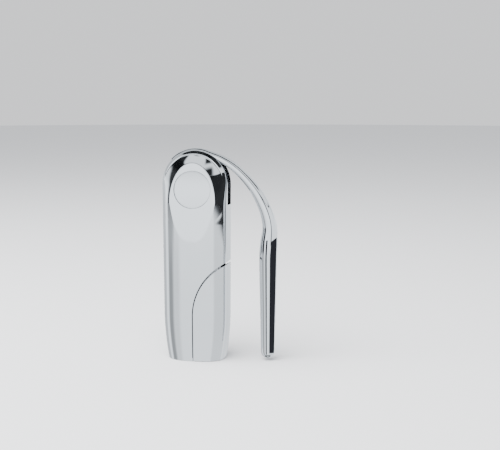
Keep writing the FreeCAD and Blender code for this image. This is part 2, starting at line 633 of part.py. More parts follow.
def rack_pin_holes():
    return [rod_y(RACK_PIN_RADIUS, x, z, -GEAR_OUTER, -RACK_INNER + DOWEL_DEPTH)
            for x, z in rack_pin_places()]


def dowel_places():
    places = []
    for turn in DOWEL_ANGLES:
        angle = math.radians(turn)
        places.append((DOWEL_CIRCLE * math.cos(angle), PIVOT_HEIGHT + DOWEL_CIRCLE * math.sin(angle)))
    return places


def hub_dowels():
    pins = []
    for x, z in dowel_places():
        pin = rod_y(DOWEL_RADIUS, x, z, -GEAR_OUTER, -HUB_HALF_WIDTH + DOWEL_DEPTH)
        pins += [pin, mirrored(pin)]
    return Part.makeCompound(pins)


# ---- lever ------------------------------------------------------------------------------------
def signed_power(value, power):
    return math.copysign(abs(value) ** power, value)


def arm_section(station, along):
    """A closed section of the arm, square to its line."""
    x, rise, half_thickness, half_width, squareness = station
    centre = vec(x, 0, PIVOT_HEIGHT + rise)
    across = vec(along.z, 0, -along.x)
    across.normalize()
    power = 2 / squareness
    step = 2 * math.pi / ARM_POLES
    swell = 3 / (2 + math.cos(step) ** power)
    poles = []
    for pole in range(ARM_POLES):
        reach = half_thickness * swell * signed_power(math.cos(step * pole), power)
        depth = half_width * swell * signed_power(math.sin(step * pole), power)
        poles.append(centre + across * reach + vec(0, depth, 0))
    curve = Part.BSplineCurve()
    curve.buildFromPoles(poles, True, 3)
    return Part.Wire([curve.toShape()])


def arm():
    """The strap's run off the dome, the bend and the handle with its rounded end."""
    end = (HANDLE_X, HANDLE_TIP_HEIGHT - PIVOT_HEIGHT, HANDLE_TIP_RADIUS, HANDLE_TIP_RADIUS, 2.0)
    stations = ARM_STATIONS + [end]
    sections = []
    for index, station in enumerate(stations):
        before = stations[max(index - 1, 0)]
        after = stations[min(index + 1, len(stations) - 1)]
        sections.append(arm_section(station, vec(after[0] - before[0], 0, after[1] - before[1])))
    radius = HANDLE_TIP_RADIUS + HANDLE_TIP_SWELL
    tip_z = HANDLE_TIP_HEIGHT + radius
    tip = Part.makeSphere(radius, vec(HANDLE_X, 0, tip_z))
    return Part.makeLoft(sections, True).common(joined([tip, box(0, FAR, -FAR, FAR, tip_z, FAR)]))


def lever():
    """Hub drum, strap over the dome, arm and handle in one casting."""
    drum = rod_y(HUB_RADIUS, 0, PIVOT_HEIGHT, -HUB_HALF_WIDTH, HUB_HALF_WIDTH)
    disc = rod_y(STRAP_RADIUS, 0, PIVOT_HEIGHT, -HUB_HALF_WIDTH, HUB_HALF_WIDTH)
    strap = disc.common(slot_sector(FAR, STRAP_START_ANGLE, STRAP_END_ANGLE, HUB_HALF_WIDTH))
    holes = [rod_y(AXLE_RADIUS + BUSH_WALL, 0, PIVOT_HEIGHT, -FAR, FAR)]
    for x, z in dowel_places():
        hole = rod_y(DOWEL_RADIUS, x, z, -HUB_HALF_WIDTH, -HUB_HALF_WIDTH + DOWEL_DEPTH)
        holes += [hole, mirrored(hole)]
    return joined([arm(), drum, strap]).cut(holes)


def pivot_bush():
    tube = rod_y(AXLE_RADIUS + BUSH_WALL, 0, PIVOT_HEIGHT, -GEAR_OUTER, GEAR_OUTER)
    return tube.cut(rod_y(AXLE_RADIUS + RUNNING_GAP, 0, PIVOT_HEIGHT, -FAR, FAR))


# ---- carriage, worm and nut -------------------------------------------------------------------
def carriage():
    """Crosshead that the racks lift, with a fork round the rail's tongue."""
    half = CARRIAGE_HALF_THICKNESS
    low, high = CARRIAGE_REST, CARRIAGE_TOP
    bar = box(RACK_BACK, CARRIAGE_END, -half, half, low, high)
    pads = box(RACK_BACK, RACK_ROOT, -RACK_INNER, RACK_INNER, low, high)
    tine = RAIL_TONGUE_HALF_WIDTH + SLIDING_GAP
    fork = box(TONGUE_X - SLIDING_GAP, FAR, -tine, tine, low, high)
    bore = rod_z(SHANK_RADIUS + RUNNING_GAP, 0, 0, low, high)
    holes = rack_pin_holes()
    return joined([bar, pads]).cut([fork, bore] + holes + [mirrored(hole) for hole in holes])


def rack_pins():
    pins = rack_pin_holes()
    return Part.makeCompound(pins + [mirrored(pin) for pin in pins])


def worm_helix(wire_radius, low, high):
    """Right-hand helical bar about Z, in the worm's own phase whatever its ends are."""
    start = 2 * math.pi * (low - WORM_TIP_HEIGHT) / WORM_PITCH
    path = Part.Wire(Part.makeHelix(WORM_PITCH, high - low, WORM_CORE_RADIUS).Edges)
    along = vec(0, WORM_CORE_RADIUS, WORM_PITCH / (2 * math.pi))
    ring = Part.Wire([Part.makeCircle(wire_radius, vec(WORM_CORE_RADIUS, 0, 0), along)])
    bar = path.makePipeShell([ring], True, True)
    bar.rotate(vec(0, 0, 0), vec(0, 0, 1), math.degrees(start))
    bar.translate(vec(0, 0, low))
    return bar


def worm():
    """The screw, its thrust flange and the shank that turns in the carriage."""
    flange = rod_z(SHANK_FLANGE_RADIUS, 0, 0, FLANGE_LOW, CARRIAGE_REST - RUNNING_GAP)
    top = CARRIAGE_TOP + RUNNING_GAP + RETAINER_THICKNESS
    shank = rod_z(SHANK_RADIUS, 0, 0, FLANGE_LOW, top)
    spiral = worm_helix(WORM_WIRE_RADIUS, WORM_TIP_HEIGHT, FLANGE_LOW + SHANK_FLANGE_THICKNESS / 2)
    along = vec(0, -WORM_CORE_RADIUS, -WORM_PITCH / (2 * math.pi))
    point = Part.makeCone(WORM_WIRE_RADIUS, WORM_POINT_RADIUS, WORM_POINT_LENGTH,
                          vec(WORM_CORE_RADIUS, 0, WORM_TIP_HEIGHT), along)
    return spiral.fuse(joined([flange, shank])).fuse(point)


def worm_retainer():
    low = CARRIAGE_TOP + RUNNING_GAP
    ring = rod_z(RETAINER_RADIUS, 0, 0, low, low + RETAINER_THICKNESS)
    return ring.cut(rod_z(SHANK_RADIUS, 0, 0, 0, FAR))


def worm_nut():
    """Turns the worm as it passes: its hole is the worm's own helix with a clearance."""
    disc = rod_z(NUT_RADIUS, 0, 0, SLEEVE_TOP, SLEEVE_TOP + NUT_HEIGHT)
    thread = worm_helix(WORM_WIRE_RADIUS + NUT_THREAD_GAP, SLEEVE_TOP - WORM_PITCH / 2,
                        SLEEVE_TOP + NUT_HEIGHT + WORM_PITCH / 2)
    latch_z = SLEEVE_TOP + NUT_HEIGHT / 2
    socket_start = vec(NUT_RADIUS - LATCH_DEPTH, 0, latch_z)
    socket = Part.makeCylinder(LATCH_RADIUS + RUNNING_GAP, FAR, socket_start, vec(1, 0, 0))
    between_plates = box(-FAR, FAR, -PLATE_INNER + SLIDING_GAP, PLATE_INNER - SLIDING_GAP, 0, FAR)
    return disc.cut([thread, socket]).common(between_plates)


def nut_latch():
    """Bolt that holds the nut down on the shelf."""
    start = vec(NUT_RADIUS - LATCH_DEPTH + RUNNING_GAP, 0, SLEEVE_TOP + NUT_HEIGHT / 2)
    length = SHELF_HALF_WIDTH - NUT_RADIUS + LATCH_DEPTH - RUNNING_GAP
    return Part.makeCylinder(LATCH_RADIUS, length, start, vec(1, 0, 0))


# ---- jaw --------------------------------------------------------------------------------------
def jaw(wall, room):
    """The lower lever-side quarter of the body, with its ears and pad rib set halfway into the wall."""
    region = jaw_side(JAW_EDGE_X + JAW_GAP, JAW_OWN_CURVE).common(box(-FAR, FAR, -FAR, FAR, JAW_LIFT, FAR))
    solids = [wall.common(region)]
    low = JAW_PIN_HEIGHT - JAW_EAR_RADIUS
    high = JAW_PIN_HEIGHT + JAW_EAR_RADIUS
    for side in (-1, 1):
        near, far = sorted((side * JAW_EAR_INNER, side * JAW_PIN_HALF_LENGTH))
        ear = box(JAW_PIN_X, FAR, near, far, low, high)
        solids.append(ear.common(room))
        solids.append(rod_y(JAW_EAR_RADIUS, JAW_PIN_X, JAW_PIN_HEIGHT, near, far).common(room))
    rib = pad_block(0, FAR).cut(rod_z(NECK_RADIUS + PAD_THICKNESS, 0, 0, 0, FAR))
    solids.append(rib.common(room))
    reach = JAW_PIN_HALF_LENGTH + RUNNING_GAP
    bore = rod_y(JAW_PIN_RADIUS + RUNNING_GAP, JAW_PIN_X, JAW_PIN_HEIGHT, -reach, reach)
    return joined(solids).cut(bore)


def jaw_spring():
    """Leaf spring on the jaw's inside, drawn as it stands with the jaw squeezed."""
    seat = BODY_HALF_WIDTH - BODY_WALL - SPRING_THICKNESS
    foot_top = SPRING_FOOT_LOW + SPRING_FOOT_HEIGHT
    outline = [
        (seat - SPRING_THICKNESS, SPRING_FOOT_LOW), (seat, SPRING_FOOT_LOW), (seat, foot_top),
        (SPRING_TIP_X + SPRING_THICKNESS, SPRING_TIP_HEIGHT), (SPRING_TIP_X, SPRING_TIP_HEIGHT),
        (seat - SPRING_THICKNESS, foot_top),
    ]
    return prism(outline, -SPRING_HALF_WIDTH, SPRING_HALF_WIDTH)


def main():
    os.makedirs("parts", exist_ok=True)
    outer = body_form(0.0)
    inner = body_form(BODY_WALL)
    wall = hollow_body(outer, inner)
    room = body_form(BODY_WALL / 2)
    front = front_shell(wall, room)
    save("front_shell", front)
    save("rear_shell", mirrored(front))
    save("front_cap", cap_disc())
    save("rear_cap", mirrored(cap_disc()))
    save("front_frame_plate", frame_plate())
    save("rear_frame_plate", mirrored(frame_plate()))
    save("frame_screws", frame_screws())
    save("carriage_rail", carriage_rail())
    save("rack_guide", rack_guide())
    save("pivot_axle", pivot_axle())
    save("pivot_screws", both_sides(pivot_screw()))
    save("thrust_washers", both_sides(thrust_washer()))
    save("idler_pins", both_sides(idler_pin()))
    save("neck_sleeve", neck_sleeve())
    save("fixed_neck_pad", neck_pad(-1))
    save("base_plate", base_plate())
    save("base_screws", base_screws())
    save("cutter_pins", cutter_pins())
    for name, place in zip(("front_foil_wheel", "rear_foil_wheel"), cutter_places()[::-1]):
        save(name, cutter_wheel(*place))
    save("worm_nut", worm_nut())
    save("nut_latch", nut_latch())
    save("lever", lever())
    save("front_hub_gear", hub_gear())
    save("rear_hub_gear", mirrored(hub_gear()))
    save("hub_dowels", hub_dowels())
    save("pivot_bush", pivot_bush())
    save("front_idler_gear", idler_gear())
    save("rear_idler_gear", mirrored(idler_gear()))
    save("carriage", carriage())
    save("front_rack", rack())
    save("rear_rack", mirrored(rack()))
    save("rack_pins", rack_pins())
    save("worm", worm())
    save("worm_retainer", worm_retainer())
    save("jaw", jaw(wall, room))
    save("jaw_pad", neck_pad(1))
    save("jaw_pin", rod_y(JAW_PIN_RADIUS, JAW_PIN_X, JAW_PIN_HEIGHT, -JAW_PIN_HALF_LENGTH, JAW_PIN_HALF_LENGTH))
    save("jaw_spring", jaw_spring())


main()
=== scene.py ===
# %% [markdown]
# # A vertical-lever corkscrew in polished chrome
# The tool is a deep oval body that goes over a bottle's neck, a lever that swings over its
# dome, and a geared worm inside. This lesson dresses a fixed engineering model: every piece
# made here sits exactly where the model has it and rides on the body that carries it.

# %% Load the fixed frame
import json
import math
import bpy
import bmesh
from mathutils import Matrix, Vector


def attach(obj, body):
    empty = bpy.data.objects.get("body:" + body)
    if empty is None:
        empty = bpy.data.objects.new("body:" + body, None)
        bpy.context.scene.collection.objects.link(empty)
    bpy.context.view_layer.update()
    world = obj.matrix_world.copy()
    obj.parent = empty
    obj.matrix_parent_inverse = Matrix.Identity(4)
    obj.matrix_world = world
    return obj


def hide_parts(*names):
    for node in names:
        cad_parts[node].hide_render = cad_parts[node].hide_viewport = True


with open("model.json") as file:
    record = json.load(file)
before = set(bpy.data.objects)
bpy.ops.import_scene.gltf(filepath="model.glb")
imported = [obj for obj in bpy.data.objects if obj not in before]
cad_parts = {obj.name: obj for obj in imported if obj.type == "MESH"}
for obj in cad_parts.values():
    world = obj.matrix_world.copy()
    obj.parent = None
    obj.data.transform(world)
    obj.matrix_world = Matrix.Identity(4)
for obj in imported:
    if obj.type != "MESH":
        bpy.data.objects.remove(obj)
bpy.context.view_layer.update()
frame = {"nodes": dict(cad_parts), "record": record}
print("nodes in the frame:", len(frame["nodes"]))

# %% [markdown]
# ## Helpers
# Sizes are written in millimetres, as a toolmaker would, and turned to metres only when a mesh
# is made. One function adds any shader or geometry node with its settings and its inputs.

# %% Units, colours and nodes
MM = 0.001


def hex_colour(text):
    """An sRGB hex colour as linear RGBA."""
    channels = [int(text[i:i + 2], 16) / 255 for i in (1, 3, 5)]
    linear = [c / 12.92 if c <= 0.04045 else ((c + 0.055) / 1.055) ** 2.4 for c in channels]
    return (*linear, 1.0)


def add_node(tree, kind, inputs=None, **settings):
    """Adds a node; an input is a value, or another node's output socket."""
    node = tree.nodes.new(kind)
    for name, value in settings.items():
        setattr(node, name, value)
    for name, value in (inputs or {}).items():
        if isinstance(value, bpy.types.NodeSocket):
            tree.links.new(value, node.inputs[name])
        else:
            node.inputs[name].default_value = value
    return node


def maths(tree, operation, first, second=0.0):
    """The value of one sum; either term may be another node's output."""
    return add_node(tree, "ShaderNodeMath", {0: first, 1: second}, operation=operation).outputs[0]


# %% From points to a finished piece
def link(name, data):
    """A new object in the scene."""
    made = bpy.data.objects.new(name, data)
    bpy.context.scene.collection.objects.link(made)
    return made


def link_mesh(name, points_mm, faces):
    """A mesh object from points in millimetres, its doubles merged and its faces outward."""
    mesh = bpy.data.meshes.new(name)
    mesh.from_pydata([Vector(p) * MM for p in points_mm], [], faces)
    work = bmesh.new()
    work.from_mesh(mesh)
    bmesh.ops.remove_doubles(work, verts=work.verts, dist=1e-6)
    bmesh.ops.dissolve_degenerate(work, edges=work.edges, dist=1e-7)
    bmesh.ops.recalc_face_normals(work, faces=work.faces)
    work.to_mesh(mesh)
    work.free()
    return link(name, mesh)


def bake_modifiers(piece):
    """Turns the piece's modifiers into its own plain mesh."""
    bpy.context.view_layer.update()
    evaluated = piece.evaluated_get(bpy.context.evaluated_depsgraph_get())
    mesh = bpy.data.meshes.new_from_object(evaluated)
    piece.modifiers.clear()
    piece.data = mesh
    return piece


def smooth(piece, sharp_angle=38):
    """Smooth shading that stays crisp where faces meet at more than the angle."""
    piece.data.shade_smooth()
    piece.data.set_sharp_from_angle(angle=math.radians(sharp_angle))
    return piece


def dress(piece, material, body, nodes):
    """Gives a finished piece its material, its body and the nodes it stands for."""
    piece.data.materials.clear()
    piece.data.materials.append(material)
    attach(piece, body)
    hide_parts(*nodes)
    heights = [vertex.co.z / MM for vertex in piece.data.vertices]
    faces = len(piece.data.polygons)
    print(f"{piece.name}: {faces} faces, z {min(heights):.1f} to {max(heights):.1f} mm")


# %% [markdown]
# ## Polished chrome plate
# The body, jaw and lever are zinc castings, buffed and plated with bright nickel and decorative
# chrome. A mirror like this is nearly all reflection, so it needs a metal shader with very low
# roughness. What keeps it from looking like a rendering is faint: buffing haze that lifts the
# roughness in soft clouds, and an orange-peel ripple some 9 mm long that bends long reflections.

# %% Chrome
def empty_material(name):
    """A material and its tree, with no nodes in it."""
    material = bpy.data.materials.new(name)
    material.use_nodes = True
    material.node_tree.nodes.clear()
    return material, material.node_tree


def new_material(name):
    """A material, its tree, its shader, and the place on a piece that its patterns follow."""
    material, tree = empty_material(name)
    shader = add_node(tree, "ShaderNodeBsdfPrincipled")
    add_node(tree, "ShaderNodeOutputMaterial", {"Surface": shader.outputs[0]})
    place = add_node(tree, "ShaderNodeTexCoord").outputs["Object"]
    return material, tree, shader, place


def ramp(tree, factor, low, high, stops=(0.35, 0.65)):
    """A value that follows a pattern between two limits."""
    limits = {"Value": factor, "From Min": stops[0], "From Max": stops[1], "To Min": low, "To Max": high}
    return add_node(tree, "ShaderNodeMapRange", limits, interpolation_type="SMOOTHSTEP").outputs[0]


def tint(tree, factor, first, second):
    """A colour between two hex colours."""
    colours = {0: factor, 6: hex_colour(first), 7: hex_colour(second)}
    return add_node(tree, "ShaderNodeMix", colours, data_type="RGBA").outputs[2]


def noise(tree, place, size_mm, detail, stretch=(1, 1, 1)):
    """Noise whose features are size_mm across, drawn out along an axis by its stretch."""
    mapped = add_node(tree, "ShaderNodeMapping", {"Vector": place, "Scale": [1 / s for s in stretch]})
    settings = {"Vector": mapped.outputs[0], "Scale": 1 / (size_mm * MM), "Detail": detail}
    return add_node(tree, "ShaderNodeTexNoise", settings).outputs["Fac"]


def ripple(tree, shader, height, strength, depth_mm):
    """Bump whose full height is depth_mm."""
    settings = {"Height": height, "Strength": strength, "Distance": depth_mm * MM}
    bump = add_node(tree, "ShaderNodeBump", settings)
    tree.links.new(bump.outputs[0], shader.inputs["Normal"])


def polished_chrome():
    material, tree, shader, place = new_material("polished_chrome_plate")
    haze = noise(tree, place, 22, detail=3)
    tree.links.new(tint(tree, haze, "#E3E5E8", "#EBEDEF"), shader.inputs["Base Color"])
    tree.links.new(ramp(tree, haze, 0.030, 0.062), shader.inputs["Roughness"])
    shader.inputs["Metallic"].default_value = 1.0
    ripple(tree, shader, noise(tree, place, 9, detail=1), strength=0.12, depth_mm=0.02)
    return material


CHROME = polished_chrome()
print("made", CHROME.name)

# %% [markdown]
# ## The body's form
# Every level section of the body is a squared oval, a superellipse, and the dome is half of that
# oval swung about the lever's pivot. Sculpting it by eye would leave waves that a mirror shows
# at once, and a cylinder with a subdivision modifier pulls in at the facets. So the skin is a
# grid worked out from the rule itself: columns follow the oval from the front round to the
# rear, and rows climb one side, go over the dome and come down the other.

# %% Sizes of the body, in millimetres
PIVOT = 161.5                  # height of the lever's axis
HALF_WIDTH, SHOULDER, BASE_HALF_WIDTH = 30.4, 31.0, 26.2
HALF_DEPTH, BASE_HALF_DEPTH = 20.5, 20.0
TAPER = 45.0                   # the base draws in below this height
OVAL_POWER = 2 / 2.8
WALL = 1.8
SLOT_HALF_WIDTH = 6.4
SLOT_END = 143.2               # the slot's lower ends on both sides
SEAM = 0.06                    # half of the hairline between the two shells


# %% Columns round half of the oval
def oval(turn):
    """Unit squared oval at an angle from -90 (front) to 90 degrees (rear)."""
    across = max(math.cos(turn), 0.0) ** OVAL_POWER
    return across, math.copysign(abs(math.sin(turn)) ** OVAL_POWER, turn)


def even_columns(start_y, end_y, count, samples=4000):
    """Angles that step evenly along the oval's edge between two depths."""
    limits = [math.asin(min(1.0, abs(y / HALF_DEPTH)) ** (1 / OVAL_POWER)) * (1 if y > 0 else -1)
              for y in (start_y, end_y)]
    turns = [limits[0] + (limits[1] - limits[0]) * i / samples for i in range(samples + 1)]
    spots = [(HALF_WIDTH * oval(turn)[0], HALF_DEPTH * oval(turn)[1]) for turn in turns]
    lengths = [0.0]
    for before, after in zip(spots, spots[1:]):
        lengths.append(lengths[-1] + math.dist(before, after))
    picked = []
    for i in range(count + 1):
        goal = lengths[-1] * i / count
        picked.append(turns[min(range(len(lengths)), key=lambda k: abs(lengths[k] - goal))])
    return picked


SLOT_COLUMN = 72
FRONT_COLUMNS = even_columns(-HALF_DEPTH, -SLOT_HALF_WIDTH, SLOT_COLUMN)
FRONT_COLUMNS += even_columns(-SLOT_HALF_WIDTH, -SEAM, 6)[1:]
print("columns in half of the front:", len(FRONT_COLUMNS))

# %% Rows up one side, over the dome and down the other
FINE_ROWS = 108.0              # above this height the rows lie close, for the facet's edge
ROW_SPANS = [(0.0, TAPER, 20), (TAPER, FINE_ROWS, 12), (FINE_ROWS, SLOT_END, 80), (SLOT_END, PIVOT, 30)]
HEIGHTS = [low + (high - low) * i / count for low, high, count in ROW_SPANS for i in range(count)]
HEIGHTS.append(PIVOT)
DOME_STEPS = 140
ROWS = [("side", -1, z) for z in HEIGHTS]
ROWS += [("dome", math.pi * (1 - i / DOME_STEPS), 0) for i in range(1, DOME_STEPS)]
ROWS += [("side", 1, z) for z in reversed(HEIGHTS)]
SLOT_ROWS = [i for i, row in enumerate(ROWS) if row[0] == "dome" or row[2] >= SLOT_END - 1e-6]
print("rows over the dome:", len(ROWS), "of which in the slot:", len(SLOT_ROWS))

# %% [markdown]
# ## The facet and the crown
# Front and rear each have a flat oval facet whose edge the buffing has softened. Outside that
# oval the dome falls away to the lever's slot, gently at first and then faster. A boolean with a
# flat block would give a hard edge and no crown. So the facet is a soft limit on the skin's depth,
# and the crown is a curve from the facet's oval to the slot's edge. Where the raised racks stand
# inside, the crown is held back and its wall is thinner, so that they have room.

# %% Sizes of the facet and the crown, in millimetres
FACET_WALL = 2.4
FACET_FOOT, FACET_SLOPE = 111.0, 0.08
FACET_LEAD = 5.0               # its soft edge starts this far below its foot
FACET_EDGE = 0.12              # how far buffing softened the facet's edge
FACET_MIDDLE, FACET_HALF_WIDTH, FACET_HALF_HEIGHT = 146.3, 21.0, 35.3
CROWN_FOOT, CROWN_RISE = 126.0, 22.0   # it starts at this height and is full this much higher
CROWN_SLOPE = 0.5              # how steeply the dome falls away at the facet's edge
CROWN_EVEN = 0.85              # the largest share of its fall that may be an even slope
LIP_SHARE, LIP_POWER = 0.12, 16        # the share that is a tight curl at the slot's edge
RACK_SIDE, RACK_REACH = 9.35, 28.1     # room that the raised racks need inside the dome
RACK_CORNER = 1.55             # how fast that room narrows past the racks' reach
THIN_WALL, ROOM_EDGE = 0.6, 0.4        # the wall there, and how softly it comes in


# %% From a row and a column to a point of the skin
def smooth_max(first, second, softness):
    """The larger of two values, rounded where they meet."""
    blend = min(1.0, max(0.0, 0.5 + 0.5 * (second - first) / softness))
    return first + (second - first) * blend + softness * blend * (1 - blend)


def facet_reach(kind, way, height):
    """How far the facet's oval reaches from the axis, in one row's direction."""
    across, upward, rise = 1.0, 0.0, height - FACET_MIDDLE
    if kind == "dome":
        across, upward, rise = math.cos(way), math.sin(way), PIVOT - FACET_MIDDLE
    # The oval's own equation, along that direction, is a quadratic in the reach.
    square = (across / FACET_HALF_WIDTH) ** 2 + (upward / FACET_HALF_HEIGHT) ** 2
    single = 2 * rise * upward / FACET_HALF_HEIGHT ** 2
    alone = (rise / FACET_HALF_HEIGHT) ** 2 - 1
    return (-single + math.sqrt(max(0.0, single * single - 4 * square * alone))) / (2 * square)


def crown(y, facet, row, radius, edge_radius):
    """Outside the facet's oval the dome falls away to the slot's edge, faster and faster."""
    kind, _, height = row
    share = 1.0 if kind == "dome" else min(1.0, max(0.0, (height - CROWN_FOOT) / CROWN_RISE))
    reach = facet_reach(*row)
    t = min(1.0, max(0.0, (radius - reach) / (edge_radius - reach)))
    drop = -SLOT_HALF_WIDTH - facet
    even = min(CROWN_EVEN, CROWN_SLOPE * (edge_radius - reach) / drop)
    domed = facet + drop * (even * t + (1 - LIP_SHARE - even) * t ** 3 + LIP_SHARE * t ** LIP_POWER)
    return y + (max(y, domed) - y) * share * share * (3 - 2 * share)


def skin_point(row, turn, inset):
    """A point of the outer skin, or of the inner one where inset is the wall."""
    kind, way, height = row
    across, depth = oval(turn)
    share = max(0.0, 1 - height / TAPER) ** 2 if kind == "side" else 0.0
    above = max(0.0, height - TAPER) / (PIVOT - TAPER) if kind == "side" else 1.0
    full_width = HALF_WIDTH + (SHOULDER - HALF_WIDTH) * above - (HALF_WIDTH - BASE_HALF_WIDTH) * share
    width = full_width - inset
    y = depth * (HALF_DEPTH - (HALF_DEPTH - BASE_HALF_DEPTH) * share - inset)
    x, z = width * across * way, height
    if kind == "dome":
        x, z = width * across * math.cos(way), PIVOT + width * across * math.sin(way)
    facet = -(HALF_DEPTH - FACET_SLOPE * (z - FACET_FOOT))
    if y < 0 and z > FACET_FOOT - FACET_LEAD:
        y = smooth_max(y, facet + (FACET_WALL if inset else 0), FACET_EDGE)
        if z > CROWN_FOOT and turn <= FRONT_COLUMNS[SLOT_COLUMN]:
            edge_radius = full_width * oval(FRONT_COLUMNS[SLOT_COLUMN])[0]
            radius = width * across
            domed = max(y, crown(y - inset, facet, row, radius, edge_radius) + inset)
            room = RACK_SIDE - RACK_CORNER * max(0.0, radius - RACK_REACH) + (0.0 if inset else THIN_WALL)
            y = min(-smooth_max(-domed, room, ROOM_EDGE), -SLOT_HALF_WIDTH)
    return (x, y, z)


print(f"top of the facet: {FACET_MIDDLE + FACET_HALF_HEIGHT:.1f} mm")

# %% [markdown]
# ## Walls from two skins
# A shell that can be looked into needs a real wall. A Solidify modifier would thicken along
# bent normals and pinch in the facet's corners, so both skins come from the same rule, one of
# them inset, and every open edge of the pair is stitched with a strip of faces.


# %% Stitch an outer and an inner skin
def wall_mesh(name, rows, columns, keep, seam_columns=()):
    """A closed wall over the grid cells that keep allows; seam columns close on themselves."""
    count = len(columns)
    points = [skin_point(row, turn, inset) for inset in (0.0, WALL) for row in rows for turn in columns]
    offset = len(rows) * count
    faces, edges = [], {}
    for i in range(len(rows) - 1):
        for j in range(count - 1):
            if not keep(i, j):
                continue
            a, b = i * count + j, (i + 1) * count + j
            faces.append((a, a + 1, b + 1, b))
            faces.append((offset + b, offset + b + 1, offset + a + 1, offset + a))
            for start, end in ((a, a + 1), (a + 1, b + 1), (b + 1, b), (b, a)):
                key = (min(start, end), max(start, end))
                edges[key] = edges.get(key, 0) + 1
    for (start, end), used in edges.items():
        on_seam = start % count in seam_columns and end % count in seam_columns
        if used == 1 and not on_seam:
            faces.append((start, end, offset + end, offset + start))
    return link_mesh(name, points, faces)


# %% Cutters and turned parts
FRONTWARD, REARWARD = Vector((0, -1, 0)), Vector((0, 1, 0))
UPWARD, DOWNWARD = Vector((0, 0, 1)), Vector((0, 0, -1))
ORIGIN = Vector((0, 0, 0))


def prism(name, outline_xz, y0, y1):
    """An outline in the XZ plane, given depth along Y."""
    count = len(outline_xz)
    points = [(x, y, z) for y in (y0, y1) for x, z in outline_xz]
    faces = [tuple(range(count)), tuple(range(2 * count - 1, count - 1, -1))]
    faces += [(i, (i + 1) % count, count + (i + 1) % count, count + i) for i in range(count)]
    return link_mesh(name, points, faces)


def lathe(name, profile, origin, axis, segments):
    """Turns a closed profile of (radius, height along the axis) about the axis."""
    side = axis.orthogonal().normalized()
    other = axis.cross(side)
    points, faces = [], []
    count = len(profile)
    for i in range(segments):
        turn = 2 * math.pi * i / segments
        spoke = side * math.cos(turn) + other * math.sin(turn)
        points += [tuple(origin + spoke * radius + axis * height) for radius, height in profile]
        a, b = i * count, ((i + 1) % segments) * count
        faces += [(a + j, a + (j + 1) % count, b + (j + 1) % count, b + j) for j in range(count)]
    return link_mesh(name, points, faces)


def cut(piece, cutters, operation="DIFFERENCE"):
    """Exact booleans, turned into the piece's own mesh; the cutters are thrown away."""
    for cutter in cutters:
        step = piece.modifiers.new(cutter.name, "BOOLEAN")
        step.operation, step.solver, step.object = operation, "EXACT", cutter
    bake_modifiers(piece)
    for cutter in cutters:
        bpy.data.objects.remove(cutter)
    return piece


def link_work(name, work):
    """The mesh being worked on as an object of its own."""
    mesh = bpy.data.meshes.new(name)
    work.to_mesh(mesh)
    work.free()
    return link(name, mesh)


def join_pieces(name, pieces):
    """Several meshes as one object."""
    work = bmesh.new()
    for piece in pieces:
        work.from_mesh(piece.data)
        bpy.data.objects.remove(piece)
    return link_work(name, work)


def mirrored(piece, name):
    """The same piece on the rear side, its faces turned outward again."""
    work = bmesh.new()
    work.from_mesh(piece.data)
    work.transform(Matrix.Scale(-1, 4, REARWARD))
    bmesh.ops.reverse_faces(work, faces=work.faces)
    return link_work(name, work)


# %% [markdown]
# ## The parting line and the cap's seat
# The lower lever-side quarter of the body is a separate jaw, squeezed to hold the bottle. Its
# edge is a straight run up the middle and then one long arc, the line that gives this tool its
# look. An arc cut by a boolean stays true however the grid runs. The same step sinks the
# round seat for the cap, as a cutter lathed square to the leaning facet.

# %% Sizes and outlines of the cuts
BEND = 42.0                    # where the parting line starts to curve
BODY_EDGE_X, BODY_EDGE_RADIUS = -0.01, 55.4
JAW_EDGE_X, JAW_EDGE_RADIUS, JAW_LIFT = 1.0, 52.5, 0.3
CAP_CENTRE, CAP_RADIUS, CAP_GAP, CAP_SEAT = 157.5, 17.0, 0.15, 1.6
WELL_TOP, WELL_FOOT = 6.0, -8.0        # a cutter's ends, clear of the facet's wall
FAR, UNDER_BASE = 40.0, -5.0   # a cutter's ends, clear of the body


def arc(x, z, radius, start, sweep, steps):
    """Points round a centre, from a starting angle on through a sweep."""
    turns = [start + sweep * i / steps for i in range(steps + 1)]
    return [(x + radius * math.cos(turn), z + radius * math.sin(turn)) for turn in turns]


def jaw_outline(edge_x, radius, low):
    """Everything to the lower right of a parting line."""
    bend = arc(edge_x + radius, BEND, radius, math.pi, -math.pi / 2, steps=90)
    return [(edge_x, low), (edge_x, BEND)] + bend[1:] + [(2 * FAR, BEND + radius), (2 * FAR, low)]


def facet_axes():
    """Centre of the cap on the facet, and the direction out of it."""
    outward = Vector((0, -1, FACET_SLOPE)).normalized()
    return Vector((0, -(HALF_DEPTH - FACET_SLOPE * (CAP_CENTRE - FACET_FOOT)), CAP_CENTRE)), outward


# %% Front and rear shells; a profile holds radii and distances from the middle plane
AXLE_HOLE = 4.1
BOSS_PROFILE = [(AXLE_HOLE, 11.7), (6.6, 11.7), (7, 12.1), (7, 14.2), (AXLE_HOLE, 14.2)]
SPIGOT_PROFILE = [(0, 9.8), (1.7, 9.8), (2, 10.1), (2, 11.7), (3.4, 11.7), (3.4, 18.6), (0, 18.6)]
SPIGOT_PLACES = [(-15, 84), (15, 100)]
SLOT_CELLS = set(SLOT_ROWS[:-1])       # a cell lies between its own row and the next


def outside_slot(i, j):
    """Whether a cell of the front's grid lies outside the lever's slot."""
    return not (i in SLOT_CELLS and j >= SLOT_COLUMN)


